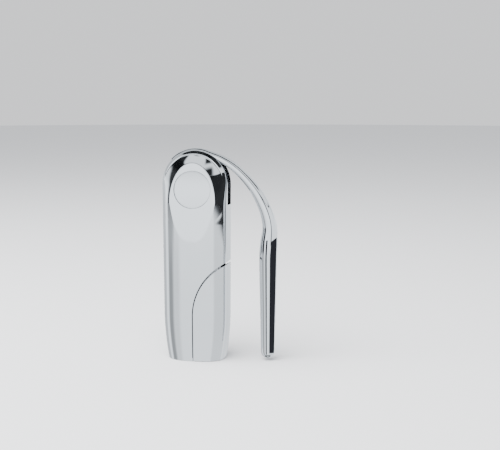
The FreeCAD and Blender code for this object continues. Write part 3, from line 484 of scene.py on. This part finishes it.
def make_front_shell():
    shell = wall_mesh("front_shell_skin", ROWS, FRONT_COLUMNS, outside_slot, seam_columns=(0,))
    centre, outward = facet_axes()
    seat = CAP_RADIUS + CAP_GAP
    well = [(0, WELL_TOP), (seat, WELL_TOP), (seat, -CAP_SEAT), (AXLE_HOLE, -CAP_SEAT),
            (AXLE_HOLE, WELL_FOOT), (0, WELL_FOOT)]
    jaw_room = prism("jaw_cutter", jaw_outline(BODY_EDGE_X, BODY_EDGE_RADIUS, UNDER_BASE), -FAR, FAR)
    shell = cut(shell, [jaw_room, lathe("cap_cutter", well, centre, outward, segments=160)])
    boss = lathe("pivot_boss", BOSS_PROFILE, UPWARD * PIVOT, FRONTWARD, segments=64)
    spigots = [lathe(f"spigot_{x}", SPIGOT_PROFILE, Vector((x, 0, z)), FRONTWARD, segments=48)
               for x, z in SPIGOT_PLACES]
    return smooth(join_pieces("front_shell_skin", [shell, boss] + spigots))


FRONT_SHELL = make_front_shell()
REAR_SHELL = smooth(mirrored(FRONT_SHELL, "rear_shell_skin"))
dress(FRONT_SHELL, CHROME, "housing", ["front_shell"])
dress(REAR_SHELL, CHROME, "housing", ["rear_shell"])

# %% [markdown]
# ## The squeeze jaw
# The jaw is a casting too: a piece of the same skin, with two ears inside for its pin and a
# hollowed rib behind its rubber pad. Its skin is cut from the same grid, so that it carries on
# the body's reflections across the parting line, and the ears and the rib are joined to it with
# exact booleans, which leave one closed solid.

# %% The jaw, with the ears for its pin and the rib behind its pad
JAW_SKIN_TOP = 106.0           # the jaw is cut from skin that reaches this high
JAW_PIN_X, JAW_PIN_HEIGHT = 23.5, 24.0
PIN_HOLE = [(0, -11.05), (1.55, -11.05), (1.55, 11.05), (0, 11.05)]
EAR_RADIUS, EAR_SIDES, EAR_ROOT = 3.6, (8.0, 11.0), 27.4
RIB_FOOT, RIB_TOP, RIB_HALF_WIDTH = 36.0, 50.0, 7.0
RIB_INNER, RIB_ROOT = 14.0, 28.9
NECK_CURVE, NECK_MARGIN = 18.0, 4.0    # the hollow behind the pad runs past the rib's ends


def jaw_ears():
    ends = [(EAR_ROOT, JAW_PIN_HEIGHT - EAR_RADIUS), (EAR_ROOT, JAW_PIN_HEIGHT + EAR_RADIUS)]
    outline = ends + arc(JAW_PIN_X, JAW_PIN_HEIGHT, EAR_RADIUS, math.pi / 2, math.pi, steps=24)
    near, far = EAR_SIDES
    return [prism("front_ear", outline, -far, -near), prism("rear_ear", outline, near, far)]


def pad_rib():
    outline = [(RIB_INNER, RIB_FOOT), (RIB_ROOT, RIB_FOOT), (RIB_ROOT, RIB_TOP), (RIB_INNER, RIB_TOP)]
    low, high = RIB_FOOT - NECK_MARGIN, RIB_TOP + NECK_MARGIN
    neck = [(0, low), (NECK_CURVE, low), (NECK_CURVE, high), (0, high)]
    block = prism("pad_rib", outline, -RIB_HALF_WIDTH, RIB_HALF_WIDTH)
    return cut(block, [lathe("neck_room", neck, ORIGIN, UPWARD, segments=96)])


def make_jaw():
    columns = FRONT_COLUMNS + [-turn for turn in reversed(FRONT_COLUMNS)]
    rows = [("side", 1, z) for z in reversed(HEIGHTS) if z < JAW_SKIN_TOP]
    skin = wall_mesh("jaw_skin", rows, columns, lambda i, j: True)
    region = prism("jaw_region", jaw_outline(JAW_EDGE_X, JAW_EDGE_RADIUS, JAW_LIFT), -FAR, FAR)
    cut(skin, [region], "INTERSECT")
    cut(skin, jaw_ears() + [pad_rib()], "UNION")
    pin_place = Vector((JAW_PIN_X, 0, JAW_PIN_HEIGHT))
    return smooth(cut(skin, [lathe("pin_hole", PIN_HOLE, pin_place, REARWARD, segments=48)]))


JAW = make_jaw()
dress(JAW, CHROME, "grip_jaw", ["jaw"])

# %% [markdown]
# ## Caps over the pivot screws
# A pressed disc sits in the facet, a little below it, with a rolled edge that catches a fine
# bright ring. It is a turned part, so its profile is drawn once and spun about the facet's axis.

# %% Caps
CAP_TOP, CAP_BULGE = -0.75, 0.45       # the cap's face lies below the facet's and swells
CAP_ROLL, CAP_ROLL_HEIGHT = 0.5, 0.42
CAP_CHAMFER, CAP_CHAMFER_HEIGHT = 0.4, 0.3


def make_cap():
    centre, outward = facet_axes()
    flat, shoulder = CAP_RADIUS - CAP_ROLL, CAP_TOP - CAP_ROLL_HEIGHT
    profile = [(0, -CAP_SEAT), (CAP_RADIUS - CAP_CHAMFER, -CAP_SEAT),
               (CAP_RADIUS, -CAP_SEAT + CAP_CHAMFER_HEIGHT), (CAP_RADIUS, shoulder)]
    for i in range(1, 7):
        turn = math.pi / 2 * i / 6
        profile.append((flat + CAP_ROLL * math.cos(turn), shoulder + CAP_ROLL_HEIGHT * math.sin(turn)))
    for i in range(1, 13):
        profile.append((flat * (1 - i / 12), CAP_TOP + CAP_BULGE * (1 - (1 - i / 12) ** 2)))
    return smooth(lathe("front_cap_disc", profile, centre, outward, segments=160))


FRONT_CAP = make_cap()
REAR_CAP = smooth(mirrored(FRONT_CAP, "rear_cap_disc"))
dress(FRONT_CAP, CHROME, "housing", ["front_cap"])
dress(REAR_CAP, CHROME, "housing", ["rear_cap"])

# %% [markdown]
# ## The lever
# One casting: a strap that hugs the dome, an arm that bends down, and a round tapered handle.
# The section changes all the way, from a flat bar to a circle. A curve with a bevel can't
# change its profile's shape, so the lever is swept ring by ring, with a spline through a few
# stations that each give a place, a half thickness, a half width and a squareness.

# %% Stations, in millimetres from the pivot: x, rise, half thickness, half width, squareness
STRAP_MIDDLE, STRAP_SECTION = 29.4, (3.2, 5.8, 3.4)
STRAP_TURNS = [math.radians(angle) for angle in range(136, 65, -10)]
STRAP_STATIONS = [(STRAP_MIDDLE * math.cos(turn), STRAP_MIDDLE * math.sin(turn), *STRAP_SECTION)
                  for turn in STRAP_TURNS]
HANDLE_X = 66.5
ARM_STATIONS = [
    (26.0, 21.6, 3.2, 5.8, 3.2), (39.6, 12.2, 3.8, 5.8, 2.7), (53.7, -3.4, 4.6, 5.8, 2.4),
    (62.0, -17.6, 5.3, 6.0, 2.3), (66.5, -29.6, 6.0, 6.4, 2.2), (68.1, -39.6, 6.6, 6.8, 2.1),
    (67.3, -52.0, 7.7, 7.6, 2.1), (66.6, -63.0, 8.0, 8.0, 2.0), (HANDLE_X, -80.0, 7.8, 7.8, 2.0),
    (HANDLE_X, -120.0, 6.95, 6.95, 2.0), (HANDLE_X, -153.4, 6.3, 6.3, 2.0),
]


def spline(stations, spacing):
    """Catmull-Rom through the stations, sampled about every spacing millimetres."""
    last = len(stations) - 1
    samples = []
    for i in range(last):
        p0, p1, p2, p3 = (Vector(stations[min(max(i + k, 0), last)]) for k in (-1, 0, 1, 2))
        span = (p2 - p1).length
        leave = (p2 - p0) * span / max((p2 - p0).length, span)
        arrive = (p3 - p1) * span / max((p3 - p1).length, span)
        steps = max(2, round(span / spacing))
        for step in range(steps):
            t = step / steps
            ahead, behind = t * t * (3 - 2 * t), t * (1 - t)
            samples.append(p1 * (1 - ahead) + p2 * ahead + leave * behind * (1 - t) - arrive * behind * t)
    return samples + [Vector(stations[-1])]


def ring(station, along, shrink=0.0, count=56):
    """One closed section, square to the lever's line."""
    x, rise, thick, wide, square = station
    normal = Vector((-along.y, 0, along.x)).normalized()
    points = []
    for k in range(count):
        turn = 2 * math.pi * k / count
        out = math.copysign(abs(math.cos(turn)) ** (2 / square), math.cos(turn)) * (thick - shrink)
        deep = math.copysign(abs(math.sin(turn)) ** (2 / square), math.sin(turn)) * (wide - shrink)
        points.append(tuple(Vector((x, deep, PIVOT + rise)) + normal * out))
    return points


def skin_rings(name, rings):
    """A closed skin over a row of rings."""
    count = len(rings[0])
    points = [point for ring_points in rings for point in ring_points]
    faces = [tuple(range(count)), tuple(range(len(points) - 1, len(points) - count - 1, -1))]
    for i in range(len(rings) - 1):
        for k in range(count):
            a, b = i * count + k, i * count + (k + 1) % count
            faces.append((a, b, b + count, a + count))
    return link_mesh(name, points, faces)


# %% Sweep the lever, and join it to its drum
RING_SPACING, TIP_RINGS = 1.6, 10
STRAP_ROUNDING = ((0.0, 0.6), (0.08, 0.3), (0.3, 0.08), (0.6, 0.0))   # how far in, how much smaller
BUSH_HOLE, DRUM_RADIUS, DRUM_HALF_WIDTH, DRUM_CHAMFER = 5.55, 26.5, 6.0, 0.5


def drum_profile():
    """The radii and distances from the middle plane of the drum that the strap stands on."""
    face, corner = DRUM_RADIUS - DRUM_CHAMFER, DRUM_HALF_WIDTH - DRUM_CHAMFER
    front = [(BUSH_HOLE, -DRUM_HALF_WIDTH), (face, -DRUM_HALF_WIDTH), (DRUM_RADIUS, -corner)]
    return front + [(radius, -y) for radius, y in reversed(front)]


def make_lever():
    path = spline(STRAP_STATIONS + ARM_STATIONS, RING_SPACING)
    flat = [Vector((p[0], p[1])) for p in path]
    alongs = [flat[min(i + 1, len(flat) - 1)] - flat[max(i - 1, 0)] for i in range(len(flat))]
    start = alongs[0].normalized()
    rings = []
    for back, shrink in STRAP_ROUNDING:
        place = path[0] + Vector((start.x * back, start.y * back, 0, 0, 0))
        rings.append(ring(place, alongs[0], shrink))
    rings += [ring(station, along) for station, along in zip(path[1:-1], alongs[1:-1])]
    tip = path[-1]
    for step in range(TIP_RINGS):
        turn = math.pi / 2 * step / TIP_RINGS
        low = tip.copy()
        low[1] -= tip[2] * math.sin(turn)
        rings.append(ring(low, Vector((0, -1)), tip[2] * (1 - math.cos(turn))))
    bar = skin_rings("lever_casting", rings)
    drum = lathe("lever_drum", drum_profile(), UPWARD * PIVOT, REARWARD, segments=160)
    return smooth(cut(bar, [drum], "UNION"))


LEVER = make_lever()
dress(LEVER, CHROME, "lever_arm", ["lever"])

# %% [markdown]
# ## The worm
# Hardened wire wound into an open helix, with a dark slippery coating. A helix is a rule, so a
# Geometry Nodes tree makes it: a spiral curve, swept with a round profile that narrows to the
# point at the free end, plus the flange and the shank that turn in the carriage.


# %% A Geometry Nodes tree with named inputs
def new_tree(name, sizes):
    """A tree with an input for each size, and the sockets that give them."""
    tree = bpy.data.node_groups.new(name, "GeometryNodeTree")
    tree.interface.new_socket("Geometry", in_out="INPUT", socket_type="NodeSocketGeometry")
    tree.interface.new_socket("Geometry", in_out="OUTPUT", socket_type="NodeSocketGeometry")
    for label, value in sizes.items():
        socket = tree.interface.new_socket(label, in_out="INPUT", socket_type="NodeSocketFloat")
        socket.default_value = value
    return tree, add_node(tree, "NodeGroupInput").outputs


def lifted(tree, geometry, height):
    """Geometry moved up by a height."""
    move = add_node(tree, "ShaderNodeCombineXYZ", {"Z": height}).outputs[0]
    return add_node(tree, "GeometryNodeTransform", {"Geometry": geometry, "Translation": move}).outputs[0]


def end_tree(tree, geometry, material):
    """Every tree ends in real geometry with its material set."""
    real = add_node(tree, "GeometryNodeRealizeInstances", {"Geometry": geometry}).outputs[0]
    done = add_node(tree, "GeometryNodeSetMaterial", {"Geometry": real, "Material": material})
    add_node(tree, "NodeGroupOutput", {"Geometry": done.outputs[0]})


def run_tree(name, tree, sizes, points_mm=((0, 0, 0),), axes=()):
    """Runs a tree on a few points and returns its result as a plain mesh piece."""
    mesh = bpy.data.meshes.new(name)
    mesh.from_pydata([Vector(p) * MM for p in points_mm], [], [])
    if axes:
        layer = mesh.attributes.new("axis", "FLOAT_VECTOR", "POINT")
        for item, axis in zip(layer.data, axes):
            item.vector = axis
    piece = link(name, mesh)
    step = piece.modifiers.new("make", "NODES")
    step.node_group = tree
    sockets = [item for item in tree.interface.items_tree if item.in_out == "INPUT"]
    labels = {socket.name: socket.identifier for socket in sockets}
    for label, value in sizes.items():
        step[labels[label]] = value
    return bake_modifiers(piece)


# %% The worm's tree
POINT_SHARE, POINT_THIN = 0.55, 0.16   # where the point reaches full wire, and its end's share of it


def worm_tree(material):
    sizes = {"Wire Radius": 1.5 * MM, "Coil Radius": 2.75 * MM, "Pitch": 9.5 * MM,
             "Tip Height": 9.0 * MM, "Top Height": 62.2 * MM, "Point Length": 5.0 * MM}
    tree, given = new_tree("open_helix_worm", sizes)
    rise = maths(tree, "SUBTRACT", given["Top Height"], given["Tip Height"])
    spiral = add_node(tree, "GeometryNodeCurveSpiral", {
        "Resolution": 72, "Rotations": maths(tree, "DIVIDE", rise, given["Pitch"]), "Height": rise,
        "Start Radius": given["Coil Radius"], "End Radius": given["Coil Radius"], "Reverse": True})
    placed = lifted(tree, spiral.outputs[0], given["Tip Height"])
    spot = add_node(tree, "GeometryNodeInputPosition").outputs[0]
    height = add_node(tree, "ShaderNodeSeparateXYZ", {0: spot}).outputs["Z"]
    share = add_node(tree, "ShaderNodeMapRange", {
        "Value": maths(tree, "SUBTRACT", height, given["Tip Height"]), "From Min": 0.0,
        "From Max": maths(tree, "MULTIPLY", given["Point Length"], POINT_SHARE),
        "To Min": POINT_THIN, "To Max": 1.0})
    taper = add_node(tree, "GeometryNodeSetCurveRadius", {"Curve": placed, "Radius": share.outputs[0]})
    outline = add_node(tree, "GeometryNodeCurvePrimitiveCircle",
                       {"Resolution": 24, "Radius": given["Wire Radius"]})
    wire = add_node(tree, "GeometryNodeCurveToMesh", {
        "Curve": taper.outputs[0], "Profile Curve": outline.outputs[0], "Fill Caps": True})
    end_tree(tree, wire.outputs[0], material)
    return tree, sizes


# %% [markdown]
# ## Coated steel for the worm
# The wire is hardened steel under a dark baked coating that lets the cork slide. Such a coating
# is thin, slightly glossy and charcoal rather than black.

# %% Worm coating and the worm; the shank's profile holds radii and heights
SHANK_PROFILE = [(0, 61.35), (5.8, 61.35), (6.0, 61.55), (6.0, 62.95), (5.8, 63.15), (3.5, 63.15),
                 (3.5, 77.1), (3.2, 77.45), (0, 77.45)]


def worm_coating():
    material, tree, shader, place = new_material("dark_baked_coating")
    grain = noise(tree, place, 0.9, detail=3)
    tree.links.new(tint(tree, grain, "#1B1B1D", "#27272A"), shader.inputs["Base Color"])
    tree.links.new(ramp(tree, grain, 0.24, 0.36), shader.inputs["Roughness"])
    shader.inputs["Coat Weight"].default_value = 0.3
    ripple(tree, shader, grain, strength=0.2, depth_mm=0.02)
    return material


COATING = worm_coating()
WIRE = run_tree("worm_wire", *worm_tree(COATING))
SHANK = lathe("worm_shank", SHANK_PROFILE, ORIGIN, UPWARD, segments=64)
WORM = smooth(join_pieces("worm_screw_wire", [WIRE, SHANK]))
dress(WORM, COATING, "worm_screw", ["worm"])

# %% [markdown]
# ## Screws
# Ten machine screws of three sizes hold the tool together. They differ only in a few sizes and in
# where they point, so one tree makes one screw, a domed head with a hexagon socket over a shank,
# and puts a copy on each point, turned to the direction that the point carries.

# %% The screw's tree
HEAD_SIDES, SHANK_SIDES, SOCKET_SIDES = 40, 28, 6
RIM_SHARE, SOCKET_SHARE = 0.86, 0.45   # the head's flat top and its socket, against its radius
DOME_SHARE = 0.25              # how much of the head's height is bevelled


def screw_tree(material):
    sizes = {"Head Radius": 1.7 * MM, "Head Height": 0.8 * MM, "Shank Radius": 1.0 * MM, "Length": 7.0 * MM}
    tree, given = new_tree("socket_head_screw", sizes)
    head_radius, head_height, length = given["Head Radius"], given["Head Height"], given["Length"]
    base_height = maths(tree, "MULTIPLY", head_height, 1 - DOME_SHARE)
    socket_radius = maths(tree, "MULTIPLY", head_radius, SOCKET_SHARE)
    rods = []
    for sides, radius, depth, middle in (
            (HEAD_SIDES, head_radius, base_height, maths(tree, "MULTIPLY", base_height, 0.5)),
            (SHANK_SIDES, given["Shank Radius"], length, maths(tree, "MULTIPLY", length, -0.5)),
            (SOCKET_SIDES, socket_radius, head_height, head_height)):
        shape = {"Vertices": sides, "Radius": radius, "Depth": depth}
        rod = add_node(tree, "GeometryNodeMeshCylinder", shape)
        rods.append(lifted(tree, rod.outputs[0], middle))
    head, shank, socket = rods
    bevel = add_node(tree, "GeometryNodeMeshCone", {
        "Vertices": HEAD_SIDES, "Radius Top": maths(tree, "MULTIPLY", head_radius, RIM_SHARE),
        "Radius Bottom": head_radius, "Depth": maths(tree, "MULTIPLY", head_height, DOME_SHARE)})
    solids = add_node(tree, "GeometryNodeMeshBoolean", operation="UNION", solver="EXACT")
    for part in (head, lifted(tree, bevel.outputs[0], base_height), shank):
        tree.links.new(part, solids.inputs["Mesh 2"])
    screw = add_node(tree, "GeometryNodeMeshBoolean", {"Mesh 1": solids.outputs[0], "Mesh 2": socket},
                     operation="DIFFERENCE", solver="EXACT")
    axis = add_node(tree, "GeometryNodeInputNamedAttribute", {"Name": "axis"}, data_type="FLOAT_VECTOR")
    turn = add_node(tree, "FunctionNodeAlignRotationToVector", {"Vector": axis.outputs[0]}, axis="Z")
    copies = add_node(tree, "GeometryNodeInstanceOnPoints", {
        "Points": given["Geometry"], "Instance": screw.outputs[0], "Rotation": turn.outputs[0]})
    end_tree(tree, copies.outputs[0], material)
    return tree


# %% [markdown]
# ## Metals, nylon and rubber for the inner parts
# Each finish starts from how its surface was made. Blanked and ground plates have grinding lines
# a few tenths of a millimetre apart, drawn out along the plate. Tumbled gears are matt and even.
# Sintered bronze is speckled with pores. Moulded nylon has a fine spark-eroded grain, and rubber
# is dull with a dusty bloom. The finest grains are drawn about twice as coarse, so that they show.


# %% A metal with a direction, and the rest
def metal(name, first, second, rough, size_mm, stretch=(1, 1, 1), depth_mm=0.01):
    material, tree, shader, place = new_material(name)
    grain = noise(tree, place, size_mm, detail=4, stretch=stretch)
    tree.links.new(tint(tree, grain, first, second), shader.inputs["Base Color"])
    tree.links.new(ramp(tree, grain, *rough), shader.inputs["Roughness"])
    shader.inputs["Metallic"].default_value = 1.0
    ripple(tree, shader, grain, strength=0.35, depth_mm=depth_mm)
    return material


def plastic(name, first, second, rough, size_mm, depth_mm, ior=1.5):
    material, tree, shader, place = new_material(name)
    grain = noise(tree, place, size_mm, detail=3)
    tree.links.new(tint(tree, grain, first, second), shader.inputs["Base Color"])
    tree.links.new(ramp(tree, grain, *rough), shader.inputs["Roughness"])
    shader.inputs["IOR"].default_value = ior
    ripple(tree, shader, grain, strength=0.4, depth_mm=depth_mm)
    return material


GROUND_STEEL = metal("ground_steel_plate", "#A3A5A8", "#C2C4C7", (0.24, 0.38), 0.25, (1, 1, 30))
ZINC_SCREW = metal("zinc_plated_screw", "#9EA3A8", "#B9BEC2", (0.22, 0.34), 0.8)
GEAR_STEEL = metal("tumbled_gear_steel", "#7D7E82", "#939498", (0.34, 0.46), 0.5)
SPRING_STEEL = metal("hardened_spring_steel", "#8E949C", "#AEB4BB", (0.18, 0.3), 0.3, (1, 20, 1))
BRONZE = metal("sintered_bronze", "#8A6338", "#B4884F", (0.38, 0.55), 0.35, depth_mm=0.03)
NYLON = plastic("moulded_black_nylon", "#0F0F11", "#1B1B1E", (0.42, 0.56), 0.5, 0.03)
RUBBER = plastic("soft_black_rubber", "#131313", "#222221", (0.68, 0.85), 0.7, 0.05)
CAD_FINISHES = {
    "satin_chrome": CHROME, "chrome": CHROME, "steel": GROUND_STEEL, "screw_steel": ZINC_SCREW,
    "gear_steel": GEAR_STEEL, "worm_steel": COATING, "spring_steel": SPRING_STEEL, "bronze": BRONZE,
    "black_nylon": NYLON, "rubber": RUBBER,
}
for part in frame["record"]["subparts"]:
    for material_slot in frame["nodes"][part["node"]].material_slots:
        material_slot.material = CAD_FINISHES[part["material_slot"]]

# %% Ten screws in three sizes, given as the head's radius and height, the shank's radius and length
SCREW_TREE = screw_tree(ZINC_SCREW)
PLATE_FACE, PIVOT_SEAT = 11.604, 1.3
PLATE_SPOTS = [(-20, 58.5), (20, 58.5), (23.2, 127.2)]
BASE_SPOT_X, BASE_SPOT_Y, BASE_FACE = -20, 4, 1.0
BOTH_SIDES = (-1, 1)


def screws(name, sizes_mm, spots, axes, nodes):
    """Screws of one size that ride on the housing, each with its head towards its own axis."""
    labels = ("Head Radius", "Head Height", "Shank Radius", "Length")
    sizes = {label: size * MM for label, size in zip(labels, sizes_mm)}
    piece = smooth(run_tree(name, SCREW_TREE, sizes, spots, axes), sharp_angle=30)
    dress(piece, ZINC_SCREW, "housing", nodes)


plate_spots = [(x, side * PLATE_FACE, z) for x, z in PLATE_SPOTS for side in BOTH_SIDES]
pivot_spots = [(0, side * (PLATE_FACE + PIVOT_SEAT), PIVOT) for side in BOTH_SIDES]
base_spots = [(BASE_SPOT_X, side * BASE_SPOT_Y, BASE_FACE) for side in BOTH_SIDES]
outward = [FRONTWARD, REARWARD]
screws("frame_plate_screws", (1.7, 0.8, 1.0, 7.0), plate_spots, outward * len(PLATE_SPOTS), ["frame_screws"])
screws("lever_pivot_screws", (3.8, 1.4, 2.0, 8.3), pivot_spots, outward, ["pivot_screws"])
screws("base_plate_screws", (2.2, 0.95, 1.2, 5.0), base_spots, [DOWNWARD, DOWNWARD], ["base_screws"])

# %% [markdown]
# ## Floor, light and camera
# Chrome shows the room more than itself. The room here is a plain pale one: a pale floor and a
# soft sky that the camera sees as one even tone. For reflections the sky is a studio instead, a
# broad white wall behind the camera, a light overhead and dark flags between them, the way
# photographers draw black lines along polished metal. It is worked out from the direction alone.

# %% Floor
bpy.ops.mesh.primitive_circle_add(vertices=96, radius=6.0, fill_type="NGON", location=(0, 0, -0.0002))
floor = bpy.context.object
floor.name = "studio_floor"
floor_material, _, floor_shader, _ = new_material("pale_studio_floor")
floor_shader.inputs["Base Color"].default_value = hex_colour("#E6E7E9")
floor_shader.inputs["Roughness"].default_value = 1.0
floor_shader.inputs["Specular IOR Level"].default_value = 0.0
floor.data.materials.append(floor_material)
floor.visible_glossy = False

# %% The studio that the chrome reflects
CAMERA_AZIMUTH, CAMERA_TILT = 12.0, 8.0
DEGREES = 180 / math.pi
world = bpy.data.worlds.new("soft_studio")
bpy.context.scene.world = world
world.use_nodes = True
sky = world.node_tree
sky.nodes.clear()
way = add_node(sky, "ShaderNodeTexCoord").outputs["Generated"]
x, y, z = add_node(sky, "ShaderNodeSeparateXYZ", {0: way}).outputs
swing = maths(sky, "ARCTAN2", x, maths(sky, "MULTIPLY", y, -1.0))
azimuth = maths(sky, "SUBTRACT", maths(sky, "MULTIPLY", swing, DEGREES), CAMERA_AZIMUTH)
elevation = maths(sky, "MULTIPLY", maths(sky, "ARCSINE", z), DEGREES)


def window(value, low, high, soft):
    """1 between two angles, falling softly to 0 outside them."""
    rise = ramp(sky, value, 0.0, 1.0, (low - soft, low + soft))
    return maths(sky, "MULTIPLY", rise, ramp(sky, value, 1.0, 0.0, (high - soft, high + soft)))


def flag(light, darkness, azimuths, elevations, soft, height=elevation):
    """Dims the light inside a window of directions."""
    across, upward = window(azimuth, *azimuths, soft[0]), window(height, *elevations, soft[1])
    shade = maths(sky, "MULTIPLY", maths(sky, "MULTIPLY", across, upward), darkness)
    return maths(sky, "MULTIPLY", light, maths(sky, "SUBTRACT", 1.0, shade))


# %% Wall, top light and flags, in degrees from the camera's own direction
BLACK = 0.985
FLAGS = [                      # darkness, azimuths, elevations, and how soft both edges are
    (0.97, (-87, -56), (-8, 40), (4, 3)),        # black card on the left
    (0.72, (-86, -62), (-90, -8), (6, 3)),
    (0.25, (-64, -42), (-90, -8), (5, 3)),       # the front's soft edges
    (0.25, (18, 104), (-90, -6), (6, 3)),
    (0.45, (-200, -108), (-90, 48), (3, 4)),     # grey behind the tool
    (0.15, (118, 200), (-90, 48), (3, 4)),
    (BLACK, (-110, 26), (24, 38), (3, 4)),       # gap between the wall and the top light
    (BLACK, (13, 27), (45, 84), (3, 3)),
    (BLACK, (62, 112), (36, 84), (3, 3)),
    (BLACK, (-118, -68), (36, 84), (4, 3)),
    (BLACK, (-112, 112), (66, 120), (6, 2)),
    (BLACK, (-400, -108), (48, 120), (6, 3)),    # nothing behind the top light
    (BLACK, (110, 400), (48, 120), (6, 3)),
    (0.9, (-400, 400), (-80, -60), (6, 4)),
]
light = ramp(sky, elevation, 0.78, 1.0, (-14, 3))
light = maths(sky, "MULTIPLY", light, ramp(sky, elevation, 1.0, 0.68, (4, 13)))
aslant = maths(sky, "ADD", elevation, maths(sky, "MULTIPLY", azimuth, 0.03))
light = flag(light, BLACK, (15, 112), (-6.7, 27), (4, 0.6), aslant)    # black card on the right
for darkness, azimuths, elevations, soft in FLAGS:
    light = flag(light, darkness, azimuths, elevations, soft)
studio = tint(sky, light, "#0B0C0E", "#F4FAFF")
reflected = add_node(sky, "ShaderNodeLightPath").outputs["Is Glossy Ray"]
tones = {0: reflected, 6: hex_colour("#B7B8BA"), 7: studio}
seen = add_node(sky, "ShaderNodeMix", tones, data_type="RGBA")
glow = add_node(sky, "ShaderNodeBackground", {"Color": seen.outputs[2], "Strength": 2.2})
add_node(sky, "ShaderNodeOutputWorld", {"Surface": glow.outputs[0]})
print("flags in the studio:", len(FLAGS) + 1)

# %% A soft key light, for the floor and the shadow
lamp = bpy.data.lights.new("soft_key", "AREA")
lamp.shape, lamp.size, lamp.size_y, lamp.energy = "RECTANGLE", 1.8, 1.4, 80.0
key = link("soft_key", lamp)
key.location = (-0.45, -0.55, 1.30)
key.rotation_euler = (Vector((0, 0, 0.08)) - key.location).to_track_quat("-Z", "Y").to_euler()
key.visible_glossy = False

# %% [markdown]
# ## Cards round the handle
# The handle curves far more tightly than the body, so it shows the whole studio in a narrow
# stripe. Three upright cards stand round it, two wide arcs and a narrow strip, and draw its dark
# and pale bands. The body would show them too, so their paint asks how long the ray is: only
# the short reflections from the handle and the arm see it, and every other ray goes through.

# %% Cards, seen by the lever's chrome alone
CARD_SLACK = 4.0               # how much longer than the card's radius a ray may be


def side_card(name, paint, strength, radius, angles, heights):
    """An upright arc of card round the handle's axis, at angles from the camera's direction."""
    turns = [math.radians(angle + CAMERA_AZIMUTH) for angle in angles]
    edges = [(HANDLE_X + radius * math.sin(turn), -radius * math.cos(turn)) for turn in turns]
    points = [(x, y, z) for x, y in edges for z in heights]
    faces = [(2 * i, 2 * i + 1, 2 * i + 3, 2 * i + 2) for i in range(len(turns) - 1)]
    card = link_mesh(name, points, faces)
    material, tree = empty_material(name)
    length = add_node(tree, "ShaderNodeLightPath").outputs["Ray Length"]
    far = maths(tree, "GREATER_THAN", length, (radius + CARD_SLACK) * MM)
    colour = add_node(tree, "ShaderNodeEmission", {"Color": hex_colour(paint), "Strength": strength})
    clear = add_node(tree, "ShaderNodeBsdfTransparent")
    mix = add_node(tree, "ShaderNodeMixShader", {0: far, 1: colour.outputs[0], 2: clear.outputs[0]})
    add_node(tree, "ShaderNodeOutputMaterial", {"Surface": mix.outputs[0]})
    card.data.materials.append(material)
    card.visible_camera = card.visible_diffuse = card.visible_shadow = card.visible_transmission = False


side_card("black_card", "#33343A", 1.0, 60.0, range(22, 131, 6), (-20.0, 106.0))
side_card("black_strip", "#15161A", 1.0, 20.0, (-30, -22, -14), (-20.0, 112.0))
side_card("white_card", "#F4FAFF", 1.7, 60.0, range(28, 107, 6), (106.0, 260.0))

# %% Camera
ACROSS, TILT = math.radians(CAMERA_AZIMUTH), math.radians(CAMERA_TILT)
DISTANCE, LENS, SENSOR = 891.5, 69.6, 36
OFFSET_RIGHT, OFFSET_UP = -48.7, -23.1   # where the tool stands in the view, at its own distance
toward = Vector((math.sin(ACROSS) * math.cos(TILT), -math.cos(ACROSS) * math.cos(TILT), math.sin(TILT)))
right = Vector((math.cos(ACROSS), math.sin(ACROSS), 0))
up = toward.cross(right)
spot = Vector((0, 0, 100)) - right * OFFSET_RIGHT - up * OFFSET_UP + toward * DISTANCE
camera = link("camera", bpy.data.cameras.new("camera"))
camera.data.lens = LENS
camera.data.sensor_width = SENSOR
camera.matrix_world = Matrix.Translation(spot * MM) @ Matrix((right, up, toward)).transposed().to_4x4()
bpy.context.scene.camera = camera
print("camera at", [round(c, 3) for c in camera.location])
